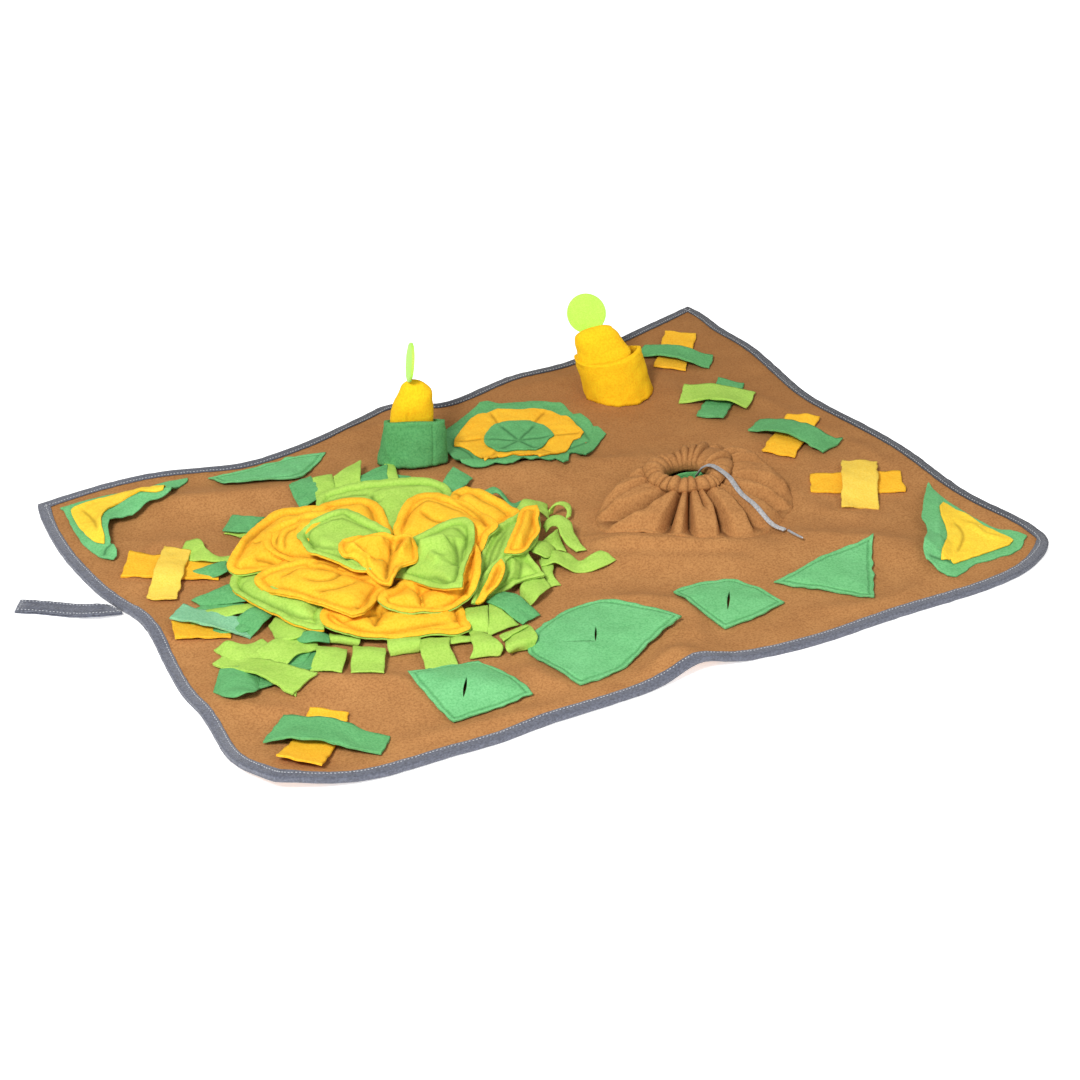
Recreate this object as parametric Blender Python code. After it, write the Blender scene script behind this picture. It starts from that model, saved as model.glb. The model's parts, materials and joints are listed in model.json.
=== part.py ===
"""Snuffle mat for dogs: fleece sheet, bound edge, strips, pockets, flower, pots and pouch.

Millimetres in the tables, metres in the mesh.  The origin is the middle of the
underside, +X runs along the long side, +Y to the far edge and +Z up.
Every cloth piece is laid on what is already there, from the bottom up.
"""
import math

import bpy
import numpy as np

MM = 0.001

# ---------------------------------------------------------------- sizes
SHEET_THICK = 3.0        # brown fleece on its backing
FELT_THICK = 2.2         # one layer of fleece
GAP = 0.45               # air between two pieces
BIND_THICK = 1.2         # folded tape over the edge
BIND_WIDE = 11.0
EDGE_BAND = 14.0         # strip of sheet under the tape
EDGE_RAISE = GAP + BIND_THICK + 0.05
CELL = 4.0               # plan grid of the heights
X_RANGE = (-640.0, 560.0)
Y_RANGE = (-440.0, 470.0)
POT_WALL = 4.0
LACE_HALF = 2.0          # half the drawcord's thickness
LACE_STEP = 7.0

COLOURS = {
    "brown": (0xB8, 0x7C, 0x42), "grey": (0x74, 0x77, 0x84),
    "green": (0x4F, 0xAE, 0x68), "mint": (0x6C, 0xC0, 0x86),
    "lime": (0xA4, 0xE2, 0x58), "yellow": (0xFF, 0xC4, 0x1A),
    "pale_yellow": (0xFF, 0xDE, 0x46), "neon": (0xBE, 0xFF, 0x5A),
    "lace": (0xB8, 0xBC, 0xC2),
}
ROUGHNESS = {"grey": 0.8, "lace": 0.7}

# ---------------------------------------------------------------- the sheet
# outline of the sheet, one row a turn: x, y, lift of the edge off the floor
BACK_EDGE = [(-478, 340, 4), (-394, 350, 2), (-327, 345, 2), (-272, 328, 1),
             (-228, 312, 1), (-146, 318, 2), (-49, 343, 2), (6, 359, 3),
             (56, 322, 1), (86, 326, 2), (181, 348, 2), (225, 342, 2),
             (267, 344, 2), (363, 370, 2), (491, 406, 1)]
FRONT_EDGE = [(-492, -318, 16), (-464, -330, 12), (-420, -343, 4), (-372, -349, 2),
              (-327, -350, 2), (-259, -356, 1), (-211, -353, 1), (-115, -357, 2),
              (-48, -356, 3), (-11, -356, 24), (22, -359, 4), (60, -364, 1), (126, -374, 1),
              (236, -375, 1), (352, -381, 1), (418, -376, 2), (466, -356, 3),
              (481, -339, 4)]
LEFT_EDGE = [(-492, -318, 16), (-506, -285, 13), (-511, -246, 8), (-499, -173, 3),
             (-500, -138, 3), (-496, -87, 2), (-480, 15, 2), (-481, 62, 2),
             (-489, 92, 3), (-496, 131, 5), (-497, 220, 4), (-486, 309, 3),
             (-478, 340, 4)]
RIGHT_EDGE = [(481, -339, 4), (489, -300, 3), (475, -200, 2), (484, -84, 2),
              (480, -5, 2), (471, 50, 3), (468, 107, 3), (480, 178, 2),
              (490, 258, 4), (486, 325, 3), (495, 371, 2), (491, 406, 1)]
COLUMNS, ROWS = 32, 24

# folds of the lying sheet: height, half width, and the run of the crest
FOLDS = [
    {"name": "back_ridge", "height": 13, "half": 44,
     "run": [(-371, 275), (-286, 246), (-199, 213), (-84, 178), (-2, 146),
             (80, 100)]},
    {"name": "pouch_ridge", "height": 7, "half": 34,
     "run": [(80, 100), (150, 78), (214, 58)]},
    {"name": "front_ridge", "height": 12, "half": 40,
     "run": [(34, -96), (75, -112), (117, -150), (167, -186), (205, -190),
             (283, -215), (331, -264), (338, -300)]},
    {"name": "arch_ridge", "height": 25, "half": 30,
     "run": [(-11, -372), (-11, -352)]},
    {"name": "arch_tail", "height": 13, "half": 38,
     "run": [(-11, -372), (-10, -322), (6, -270), (4, -222)]},
    {"name": "left_ridge", "height": 7, "half": 40,
     "run": [(-490, 48), (-455, 34), (-420, 60)]},
    {"name": "strap_ridge", "height": 6, "half": 34,
     "run": [(-470, 210), (-452, 150), (-448, 110)]},
    {"name": "near_left_ridge", "height": 8, "half": 38,
     "run": [(-492, -150), (-440, -166), (-370, -176), (-290, -226), (-219, -268),
             (-147, -300)]},
    {"name": "near_left_corner", "height": 9, "half": 55,
     "run": [(-505, -315), (-486, -290)]},
    {"name": "right_ridge", "height": 7, "half": 44,
     "run": [(430, -70), (380, -40), (330, 40), (330, 110)]},
    {"name": "far_ridge", "height": 6, "half": 40,
     "run": [(300, 330), (340, 250), (330, 180)]},
]

# ---------------------------------------------------------------- flat strips
# x, y of the middle, heading of the length, length, width at the start, width
# at the end, rise of the middle, skew of the start and end cuts in degrees
STRIP = ("x", "y", "heading", "length", "width0", "width1", "arch", "skew0", "skew1", "colour")
STRIPS = {
    "strip_far_under": (398, 299, -132, 110, 43, 41, 0, 0, 0, "yellow"),
    "strip_far_over": (388, 284, -49, 98, 38, 34, 5, 6, -6, "green"),
    "strip_second_under": (367, 150, -139, 115, 35, 35, 0, 4, 4, "green"),
    "strip_second_over": (364, 156, -42, 90, 45, 43, 4, 0, 8, "lime"),
    "strip_third_under": (383, 21, -142.5, 112, 43, 40, 0, 0, 0, "yellow"),
    "strip_third_over": (384, 18, -65, 110, 39, 45, 6, -8, 6, "green"),
    "strip_fourth_under": (381, -114, -30, 111, 42, 46, 0, 5, 0, "yellow"),
    "strip_fourth_over": (378, -123, -127, 106, 42, 44, 4, 0, -6, "pale_yellow"),
    "strip_near_under": (-421, -261, -134, 108, 42, 46, 0, 0, 0, "yellow"),
    "strip_near_over": (-407, -266, -43.5, 118, 54, 36, 5, 4, 0, "green"),
    "strip_left_under": (-399, -129, -171, 108, 38, 39, 0, 18, -16, "green"),
    "strip_left_over": (-413, -123, -63, 112, 24, 44, 4, 0, 0, "lime"),
    "strip_back_left_under": (-402, 128, -32, 108, 54, 50, 0, 0, 0, "yellow"),
    "strip_back_left_over": (-413, 112, -123, 112, 31, 33, 4, 14, 0, "pale_yellow"),
    "strip_tip_under": (-432, -12, -18, 60, 40, 44, 0, 0, 0, "yellow"),
    "strip_tip_over": (-412, -6, -47, 92, 38, 34, 3, 0, 0, "mint"),
}

# ---------------------------------------------------------------- sewn patches
# colour, crown of the middle, then the corners: x, y, lift of the edge
PATCHES = {
    "pocket_near": ("green", 9, [(-285, -211, 1), (-246, -213, 2), (-208, -221, 1),
                                 (-196, -264, 1), (-192, -308, 2), (-240, -309, 2),
                                 (-286, -306, 1), (-287, -258, 1)]),
    "pocket_large": ("green", 8, [(-154, -228, 1), (-118, -198, 3), (-80, -182, 2),
                                  (-30, -185, 3), (-2, -232, 2), (18, -273, 1),
                                  (-32, -290, 4), (-81, -313, 1), (-141, -319, 1),
                                  (-150, -270, 2)]),
    "pocket_small": ("green", 6, [(50, -210, 1), (86, -212, 4), (122, -221, 1),
                                  (136, -254, 3), (143, -291, 1), (100, -301, 2),
                                  (56, -301, 1), (50, -256, 2)]),
    "leaf_right": ("green", 6, [(159, -251, 1), (230, -240, 4), (305, -241, 1),
                                (268, -288, 3), (231, -339, 1), (196, -292, 2)]),
    "leaf_back": ("green", 6, [(-279, 299, 1), (-225, 287, 4), (-172, 291, 2),
                               (-128, 285, 1), (-160, 256, 2), (-196, 231, 2),
                               (-217, 239, 1), (-269, 267, 2)]),
    "corner_left_pocket": ("green", 7, [(-461, 325, 1), (-380, 327, 1), (-295, 317, 2),
                                        (-326, 296, 10), (-357, 278, 15), (-395, 268, 16),
                                        (-424, 255, 15), (-440, 220, 9), (-450, 184, 2),
                                        (-466, 250, 1)]),
    "corner_left_inset": ("yellow", 3, [(-448, 312, 1), (-395, 310, 1), (-340, 300, 1),
                                        (-372, 291, 2), (-404, 283, 2), (-430, 262, 2),
                                        (-443, 232, 1), (-450, 270, 1)]),
    "corner_right_pocket": ("green", 7, [(455, -162, 2), (459, -240, 1), (461, -318, 1),
                                         (446, -329, 1), (395, -338, 1), (338, -345, 2),
                                         (337, -303, 8), (372, -262, 12), (412, -214, 10)]),
    "corner_right_inset": ("yellow", 3, [(438, -218, 1), (440, -270, 1), (440, -312, 1),
                                         (400, -322, 1), (362, -323, 1), (372, -290, 2),
                                         (404, -252, 2)]),
    "target_outer": ("green", 0, [(3, 237, 6), (40, 268, 2), (83, 288, 7), (105, 297, 2),
                                  (147, 270, 8), (185, 248, 2), (190, 195, 7), (185, 141, 2),
                                  (150, 118, 8), (108, 106, 1), (70, 116, 7), (36, 136, 2),
                                  (10, 148, 8), (-8, 165, 2), (-4, 202, 2)]),
    "target_ring": ("yellow", 0, [(9, 208, 2), (43, 236, 1), (76, 257, 2), (96, 256, 1),
                                  (151, 229, 2), (167, 196, 1), (163, 156, 2), (127, 134, 1),
                                  (94, 115, 2), (55, 128, 1), (17, 146, 2), (11, 178, 1)]),
    "target_centre": ("green", 0, [(44, 193, 1), (63, 206, 0), (82, 218, 1), (100, 207, 0),
                                   (118, 196, 1), (119, 174, 0), (119, 153, 1), (101, 142, 0),
                                   (84, 131, 1), (63, 142, 0), (43, 153, 1), (43, 173, 0)]),
}
SLITS = {   # cuts a nose or a treat goes through: x0, y0, x1, y1, gape
    "pocket_near": [(-242, -258, -260, -282, 3.4)],
    "pocket_large": [(-113, -241, -82, -259, 2.4), (-67, -234, -84, -260, 2.4)],
    "pocket_small": [(101, -246, 76, -278, 3.0)],
}

# ---------------------------------------------------------------- flower
FLOWER = (-195.0, -10.0)
BACKING_R = 112.0
BACKING_HOLE = 40.0
TAB_HALF_DEG = 6.4
# one row a tab: root angle on the backing, end x, end y, end width, way it lies
TABS_GREEN = [
    ("back_left", 120, -306, 184, 30, "curl_small"), ("back", 98, -191, 231, 33, "flat"),
    ("back_mid", 69, -112, 200, 28, "flat"), ("back_right", 43, -14, 152, 34, "flat"),
    ("right_loop", 24, 4, 68, 34, "arch"), ("front_right", -64, -118, -190, 30, "arch"),
    ("front_left", -151, -343, -92, 38, "arch"), ("left_low", -169, -399, -46, 34, "arch"),
    ("left_point", 166, -418, 46, 8, "flat"), ("left_up", 148, -389, 113, 36, "flat"),
]
TABS_LIME = [
    ("left_wide", 139, -380, 154, 26, "arch"), ("back_a", 84, -162, 226, 24, "flat"),
    ("back_tall", 70, -124, 236, 26, "lift"), ("back_small", 55, -100, 172, 12, "flat"),
    ("right_top", 24, 14, 34, 30, "wave"), ("right_roll", 8, 26, 0, 26, "curl"),
    ("right_upper", -8, 4, -52, 28, "wave"), ("right_long", -24, 30, -116, 20, "wave"),
    ("right_big", -40, -42, -134, 40, "lift"), ("right_low", -54, -84, -154, 34, "arch"),
    ("front_curl", -70, -140, -222, 36, "curl"), ("front_e", -86, -190, -216, 34, "curl_small"),
    ("front_d", -102, -248, -220, 33, "arch"), ("front_c", -117, -268, -176, 30, "arch"),
    ("front_b", -131, -318, -188, 33, "arch"), ("front_a", -145, -354, -160, 33, "arch"),
    ("left_front", -159, -392, -106, 40, "arch"), ("left_square", -174, -374, -62, 26, "flat"),
    ("left_long", 172, -446, 8, 24, "flat"),
]
# way a tab lies: part of its length, height in mm
WAYS = {
    "flat": [(0.25, 0), (0.5, 1), (0.75, 1), (1.0, 0)],
    "arch": [(0.22, 1), (0.45, 3), (0.65, 6), (0.85, 5), (1.0, 0)],
    "lift": [(0.25, 3), (0.5, 6), (0.75, 11), (1.0, 18)],
    "wave": [(0.2, 8), (0.38, 19), (0.55, 16), (0.7, 8), (0.86, 9), (1.0, 3)],
    "curl": [(0.25, 3), (0.5, 4), (0.72, 4), (0.9, 7), (1.0, 15), (0.96, 24), (0.82, 28), (0.68, 23)],
    "curl_small": [(0.3, 2), (0.6, 2), (0.84, 3), (0.98, 8), (1.0, 15), (0.9, 19)],
}
# petals, from the bottom up: root, left corner, tip and right corner as x, y,
# height of the underside; root width, crown, corner roundness, ridge, side up
PETAL_EDGE = 4.4         # two layers of fleece outside the seam
PETAL = ("root", "left", "tip", "right", "root_wide", "crown", "round", "ridge", "bulge", "colour")
PETALS = {
    "petal_back": ((-165, 44, 10), (-212, 142, 22), (-124, 142, 30), (-70, 74, 24), 60, 4, 0.04, 0, 12, "lime"),
    "petal_front_left": ((-249, -15, 10), (-360, 62, 10), (-366, -14, 12), (-328, -80, 10), 50, 4, 0.03, 0, 8, "lime"),
    "petal_left": ((-215, 12, 10), (-362, 80, 15), (-310, 148, 22), (-217, 132, 24), 60, 4, 0.05, 0, 14, "yellow"),
    "petal_back_right": ((-151, -12, 10), (-66, 82, 26), (-28, 56, 30), (-24, -12, 28), 50, 4, 0.03, 0, 8, "yellow"),
    "petal_front": ((-212, -60, 10), (-314, -98, 13), (-268, -150, 12), (-186, -170, 13), 60, 4, 0.0, 0, 10, "yellow"),
    "petal_right_fold": ((-150, -112, 12), (-66, -24, 16), (-24, -14, 22), (-32, -62, 14), 44, 4, 0.05, 22, 7, "lime"),
    "petal_right_sliver": ((-158, -128, 14), (-140, -106, 18), (-100, -92, 30), (-112, -114, 20), 18, 3, 0.0, 6, 2, "yellow"),
    "petal_back_left_mid": ((-176, 38, 16), (-246, 112, 24), (-196, 124, 32), (-160, 76, 28), 24, 4, 0.04, 0, 6, "yellow"),
    "petal_back_right_mid": ((-163, -11, 16), (-144, 70, 30), (-88, 72, 34), (-78, -46, 26), 44, 4, 0.03, 3, 10, "yellow"),
    "petal_left_mid": ((-213, -2, 16), (-312, 72, 20), (-288, 112, 26), (-206, 116, 28), 44, 4, 0.05, 0, 12, "yellow"),
    "petal_front_left_mid": ((-226, -52, 16), (-292, 30, 20), (-348, 28, 18), (-290, -108, 16), 44, 4, 0.05, 2, 10, "yellow"),
    "petal_front_right_mid": ((-218, -68, 18), (-258, -106, 16), (-204, -140, 16), (-136, -114, 32), 40, 4, 0.0, 0, 6, "yellow"),
    "petal_inner_left": ((-212, -14, 22), (-284, 6, 24), (-266, 74, 27), (-206, 82, 30), 40, 4, 0.06, 0, 10, "lime"),
    "petal_inner_right": ((-205, -54, 24), (-124, 4, 32), (-98, -42, 35), (-172, -142, 25), 40, 4, 0.04, 5, 8, "lime"),
    "petal_centre": ((-240, -84, 24), (-264, -12, 30), (-214, 2, 34), (-178, -32, 31), 20, 5, 0.0, 6, 0, "yellow"),
}

# ---------------------------------------------------------------- pots, carrots
# a pot or a carrot is an oval: x, y, half its width, half its depth and the
# heading of the width; rim heights at the left and right end and in front
POTS = {
    "pot_green": {"foot": (-50, 206, 44, 28), "rim": (-46, 206, 37, 20), "heading": -30,
                  "rim_left": 64, "rim_right": 65, "rim_front": 71, "colour": "green"},
    "pot_yellow": {"foot": (272, 242, 44.5, 42), "rim": (256, 246, 43, 34), "heading": -20,
                   "rim_left": 57, "rim_right": 70, "rim_front": 63, "colour": "yellow"},
}
CARROTS = {
    "carrot_left": {"foot": (-50, 205), "top": (-46, 208, 117), "half": (25, 13), "heading": -31},
    "carrot_right": {"foot": (266, 240), "top": (242, 244, 100), "half": (33, 18), "heading": -24},
}
CARROT_PROFILE = [(0.0, 0.78), (0.08, 0.95), (0.70, 1.0), (0.84, 0.86), (0.95, 0.60), (1.0, 0.34)]
LEAVES = {   # felt disc on each carrot: middle, normal, radius
    "carrot_left_leaf": {"middle": (-50, 205, 143.2), "normal": (0.78, -0.62, 0.10), "radius": 24.0},
    "carrot_right_leaf": {"middle": (244.5, 278, 108), "normal": (-0.45, -0.76, 0.47), "radius": 23.4},
}

# ---------------------------------------------------------------- pouch
POUCH_FOOT = [(62, -30), (59, -59), (83, -80), (105, -104), (123, -129), (181, -156),
              (214, -157), (256, -138), (284, -118), (302, -86), (304, -50), (294, -14),
              (262, 14), (228, 28), (179, 24), (124, 15), (92, 2)]
POUCH_HEM = [(148, -6), (150, -44), (162, -76), (195, -84), (226, -74), (240, -54),
             (244, -24), (236, 2), (192, 11), (166, 8)]
POUCH_MOUTH = [(165, -29), (172, -40), (184, -48), (200, -51), (213, -48), (211, -34),
               (198, -24), (183, -19), (171, -22)]
POUCH_STEPS = [   # part of the way foot to hem, z, pleat depth
    (0.0, 0.5, 0.0), (0.12, 10.0, 0.25), (0.34, 21.0, 0.7), (0.62, 28.0, 1.0),
    (0.84, 30.0, 1.0), (1.0, 40.0, 0.2)]
POUCH_MOUTH_STEPS = [(0.35, 43.0, 2.2), (0.8, 39.0, 1.2), (1.0, 31.0, 0.6)]
POUCH_PLEATS = [  # heading of the valley, depth, half width in degrees
    (-172, 5, 14), (-141, 7, 12), (-124, 8, 10), (-102, 9, 11), (-80, 8, 11), (-60, 6, 10),
    (-35, 6, 14), (-8, 3, 12), (20, 5, 12), (50, 4, 12), (82, 4, 12), (112, 4, 12), (146, 5, 14)]
POUCH_SECTORS = 40

# lace route: x, y, height above what it lies on, or a set height
LACE_ROUTE = [(199, -38, None, 32), (200, -42, None, 40), (203, -46, None, 47), (206, -52, None, 51),
              (208, -60, None, 52.5), (210, -69, None, 51.5), (212, -78, 1.0, None), (213, -88, 1.0, None),
              (214, -99, 1.0, None), (216, -110, 1.0, None), (219, -120, 1.0, None),
              (220, -131, 1.0, None), (221, -142, 1.0, None), (223, -152, 1.0, None),
              (225, -162, 1.0, None), (227, -171, 1.0, None), (229, -180, 1.0, None)]
LACE_TIP_END = (233, -204)

# hanging loop: middle line from the sheet's edge outward
STRAP_LINE = [(-490.6, 83, 2), (-499, 83.5, 4), (-511, 86, 6), (-522, 95, 4), (-532, 107, 1),
              (-545, 121, 0), (-560, 134, 0), (-577, 147, 0)]
STRAP_ROOT = (0.26, -0.97)   # run of the sheet's edge where the loop starts
STRAP_WIDE = 24.0
STRAP_THICK = 1.5
STRAP_GAP = 2.2


# ================================================================ helpers
def reset_scene():
    """Leaves an empty file."""
    for obj in list(bpy.data.objects):
        bpy.data.objects.remove(obj, do_unlink=True)
    for block in (bpy.data.meshes, bpy.data.curves, bpy.data.materials):
        for item in list(block):
            block.remove(item)


def linear(channel):
    """sRGB byte to a linear value."""
    c = channel / 255.0
    return c / 12.92 if c <= 0.04045 else ((c + 0.055) / 1.055) ** 2.4


def paint(obj, colour):
    """Gives the piece its own material in the named colour."""
    mat = bpy.data.materials.new(obj.name + "_fleece")
    mat.use_nodes = True
    shader = mat.node_tree.nodes["Principled BSDF"]
    shader.inputs["Base Color"].default_value = [linear(c) for c in COLOURS[colour]] + [1.0]
    shader.inputs["Roughness"].default_value = ROUGHNESS.get(colour, 0.95)
    shader.inputs["Metallic"].default_value = 0.0
    obj.data.materials.append(mat)


def make_object(name, verts_mm, faces, colour):
    """A mesh object from millimetres."""
    mesh = bpy.data.meshes.new(name)
    mesh.from_pydata([tuple(v) for v in np.asarray(verts_mm) * MM], [], [tuple(int(i) for i in f) for f in faces])
    mesh.update()
    obj = bpy.data.objects.new(name, mesh)
    bpy.context.collection.objects.link(obj)
    paint(obj, colour)
    return obj


def triangles(faces):
    """Splits quads along one diagonal."""
    out = []
    for f in faces:
        for k in range(1, len(f) - 1):
            out.append((f[0], f[k], f[k + 1]))
    return out


def smooth_run(points, count):
    """Points at even steps along a smooth curve through the rows."""
    pts = np.asarray(points, float)
    ext = np.vstack([2 * pts[0] - pts[1], pts, 2 * pts[-1] - pts[-2]])
    fine = []
    for i in range(1, len(ext) - 2):
        p0, p1, p2, p3 = ext[i - 1:i + 3]
        for t in np.linspace(0, 1, 12, endpoint=False):
            fine.append(0.5 * (2 * p1 + (p2 - p0) * t + (2 * p0 - 5 * p1 + 4 * p2 - p3) * t ** 2
                               + (3 * p1 - p0 - 3 * p2 + p3) * t ** 3))
    fine.append(ext[-2])
    fine = np.array(fine)
    step = np.r_[0, np.cumsum(np.linalg.norm(np.diff(fine[:, :2], axis=0), axis=1))]
    if np.isscalar(count):
        at = np.linspace(0, step[-1], count)
    else:
        at = count(step[-1])
    return np.column_stack([np.interp(at, step, fine[:, k]) for k in range(fine.shape[1])])


def closed_run(points, count):
    """Even steps round a closed outline, the corners kept sharp."""
    pts = np.asarray(points, float)
    loop = np.vstack([pts, pts[:1]])
    step = np.r_[0, np.cumsum(np.linalg.norm(np.diff(loop[:, :2], axis=0), axis=1))]
    at = np.linspace(0, step[-1], count, endpoint=False)
    for s in step[:-1]:
        at[np.argmin(np.abs(at - s))] = s
    at = np.unique(at)
    return np.column_stack([np.interp(at, step, loop[:, k]) for k in range(loop.shape[1])])


class Ground:
    """Top of everything laid so far, as heights on a plan grid."""

    def __init__(self):
        self.nx = int((X_RANGE[1] - X_RANGE[0]) / CELL) + 1
        self.ny = int((Y_RANGE[1] - Y_RANGE[0]) / CELL) + 1
        self.top = np.zeros((self.nx, self.ny))

    def each_cell(self, verts, tris):
        """Cells under each triangle with the triangle's height there."""
        for t in tris:
            a, b, c = verts[t[0]], verts[t[1]], verts[t[2]]
            det = (b[0] - a[0]) * (c[1] - a[1]) - (c[0] - a[0]) * (b[1] - a[1])
            if abs(det) < 1e-6:
                continue
            x0, x1 = min(a[0], b[0], c[0]), max(a[0], b[0], c[0])
            y0, y1 = min(a[1], b[1], c[1]), max(a[1], b[1], c[1])
            i0 = max(0, int(math.floor((x0 - X_RANGE[0]) / CELL)))
            i1 = min(self.nx - 1, int(math.ceil((x1 - X_RANGE[0]) / CELL)))
            j0 = max(0, int(math.floor((y0 - Y_RANGE[0]) / CELL)))
            j1 = min(self.ny - 1, int(math.ceil((y1 - Y_RANGE[0]) / CELL)))
            gx = X_RANGE[0] + CELL * np.arange(i0, i1 + 1)[:, None]
            gy = Y_RANGE[0] + CELL * np.arange(j0, j1 + 1)[None, :]
            w1 = ((gx - a[0]) * (c[1] - a[1]) - (c[0] - a[0]) * (gy - a[1])) / det
            w2 = ((b[0] - a[0]) * (gy - a[1]) - (gx - a[0]) * (b[1] - a[1])) / det
            slack = CELL * 0.75 * max(x1 - x0, y1 - y0, CELL) / abs(det)
            inside = (w1 > -slack) & (w2 > -slack) & (w1 + w2 < 1 + slack)
            if not inside.any():
                continue
            w1c, w2c = np.clip(w1, 0, 1), np.clip(w2, 0, 1)
            height = a[2] + w1c * (b[2] - a[2]) + w2c * (c[2] - a[2])
            height = np.clip(height, min(a[2], b[2], c[2]), max(a[2], b[2], c[2]))
            ii, jj = np.nonzero(inside)
            yield ii + i0, jj + j0, height[ii, jj]

    def add(self, obj):
        """Lays a finished object on the map."""
        graph = bpy.context.evaluated_depsgraph_get()
        shape = obj.evaluated_get(graph)
        mesh = shape.to_mesh()
        verts = np.array([obj.matrix_world @ v.co for v in mesh.vertices]) / MM
        mesh.calc_loop_triangles()
        tris = [tuple(t.vertices) for t in mesh.loop_triangles]
        for ii, jj, h in self.each_cell(verts, tris):
            np.maximum.at(self.top, (ii, jj), h)
        shape.to_mesh_clear()

    def spread(self, reach):
        """Highest point within the reach, smoothed over the same reach."""
        n = max(1, int(round(reach / CELL)))
        pad = np.pad(self.top, n, mode="edge")
        high = self.top.copy()
        for di in range(2 * n + 1):
            for dj in range(2 * n + 1):
                np.maximum(high, pad[di:di + self.nx, dj:dj + self.ny], out=high)
        pad = np.pad(high, n, mode="edge")
        soft = np.zeros_like(high)
        for di in range(2 * n + 1):
            for dj in range(2 * n + 1):
                soft += pad[di:di + self.nx, dj:dj + self.ny]
        return soft / (2 * n + 1) ** 2

    def sample(self, field, x, y):
        """Value of a field at plan points."""
        fx = np.clip((np.asarray(x, float) - X_RANGE[0]) / CELL, 0, self.nx - 1.001)
        fy = np.clip((np.asarray(y, float) - Y_RANGE[0]) / CELL, 0, self.ny - 1.001)
        i, j = fx.astype(int), fy.astype(int)
        u, v = fx - i, fy - j
        return (field[i, j] * (1 - u) * (1 - v) + field[i + 1, j] * u * (1 - v)
                + field[i, j + 1] * (1 - u) * v + field[i + 1, j + 1] * u * v)

    def settle(self, verts, tris, gap=GAP, passes=8):
        """Raises the sheet wherever its underside comes too near."""
        verts = verts.copy()
        for _ in range(passes):
            worst = 0.0
            lift = np.zeros(len(verts))
            for t in tris:
                for ii, jj, h in self.each_cell(verts, [t]):
                    short = (self.top[ii, jj] + gap - h).max()
                    if short > 0.02:
                        worst = max(worst, short)
                        for k in t:
                            lift[k] = max(lift[k], short)
            verts[:, 2] += lift
            if worst <= 0.02:
                break
        return verts


GROUND = Ground()
BARE = Ground()          # the sheet and its tape only


def thick_sheet(name, verts, faces, thick, colour, upright=False, fixed=False):
    """Closed solid from an open sheet, its underside given."""
    verts = np.asarray(verts, float)
    tris = triangles(faces)
    if not fixed:
        verts = GROUND.settle(verts, tris)
    normal = np.zeros_like(verts)
    if upright:
        normal[:, 2] = 1.0
    else:
        for t in tris:
            n = np.cross(verts[t[1]] - verts[t[0]], verts[t[2]] - verts[t[0]])
            for k in t:
                normal[k] += n
        normal /= np.maximum(np.linalg.norm(normal, axis=1), 1e-9)[:, None]
    top = verts + normal * np.broadcast_to(thick, (len(verts),))[:, None]
    n = len(verts)
    edges = set()
    for t in tris:
        for k in range(3):
            edges.add((t[k], t[(k + 1) % 3]))
    solid = [tuple(reversed(t)) for t in tris] + [tuple(i + n for i in t) for t in tris]
    for a, b in sorted(edges):
        if (b, a) not in edges:
            solid.append((a, b, b + n))
            solid.append((a, b + n, a + n))
    obj = make_object(name, np.vstack([verts, top]), solid, colour)
    GROUND.add(obj)
    return obj


def grid_faces(rows, cols):
    """Quads of a grid whose rows run first."""
    return [(i * cols + j, (i + 1) * cols + j, (i + 1) * cols + j + 1, i * cols + j + 1)
            for i in range(rows - 1) for j in range(cols - 1)]


def upward(verts, faces):
    """Turns the faces so that the sheet looks up."""
    total = 0.0
    for t in triangles(faces):
        a, b, c = (verts[k] for k in t)
        total += (b[0] - a[0]) * (c[1] - a[1]) - (c[0] - a[0]) * (b[1] - a[1])
    return faces if total > 0 else [tuple(reversed(f)) for f in faces]


# ================================================================ pieces
def fold_height(x, y):
    """Height of the folds at plan points."""
    x, y = np.asarray(x, float), np.asarray(y, float)
    total = np.zeros_like(x)
    for fold in FOLDS:
        run = np.asarray(fold["run"], float)
        near = np.full_like(x, 1e9)
        for a, b in zip(run[:-1], run[1:]):
            d = b - a
            t = np.clip(((x - a[0]) * d[0] + (y - a[1]) * d[1]) / (d @ d), 0, 1)
            near = np.minimum(near, np.hypot(x - a[0] - t * d[0], y - a[1] - t * d[1]))
        k = np.clip(near / fold["half"], 0, 1)
        total = np.maximum(total, fold["height"] * np.cos(k * math.pi / 2) ** 2)
    return total


def edge_steps(count):
    """First and last step as wide as the taped band."""
    def at(length):
        return np.r_[0, np.linspace(EDGE_BAND, length - EDGE_BAND, count - 2), length]
    return at


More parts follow.
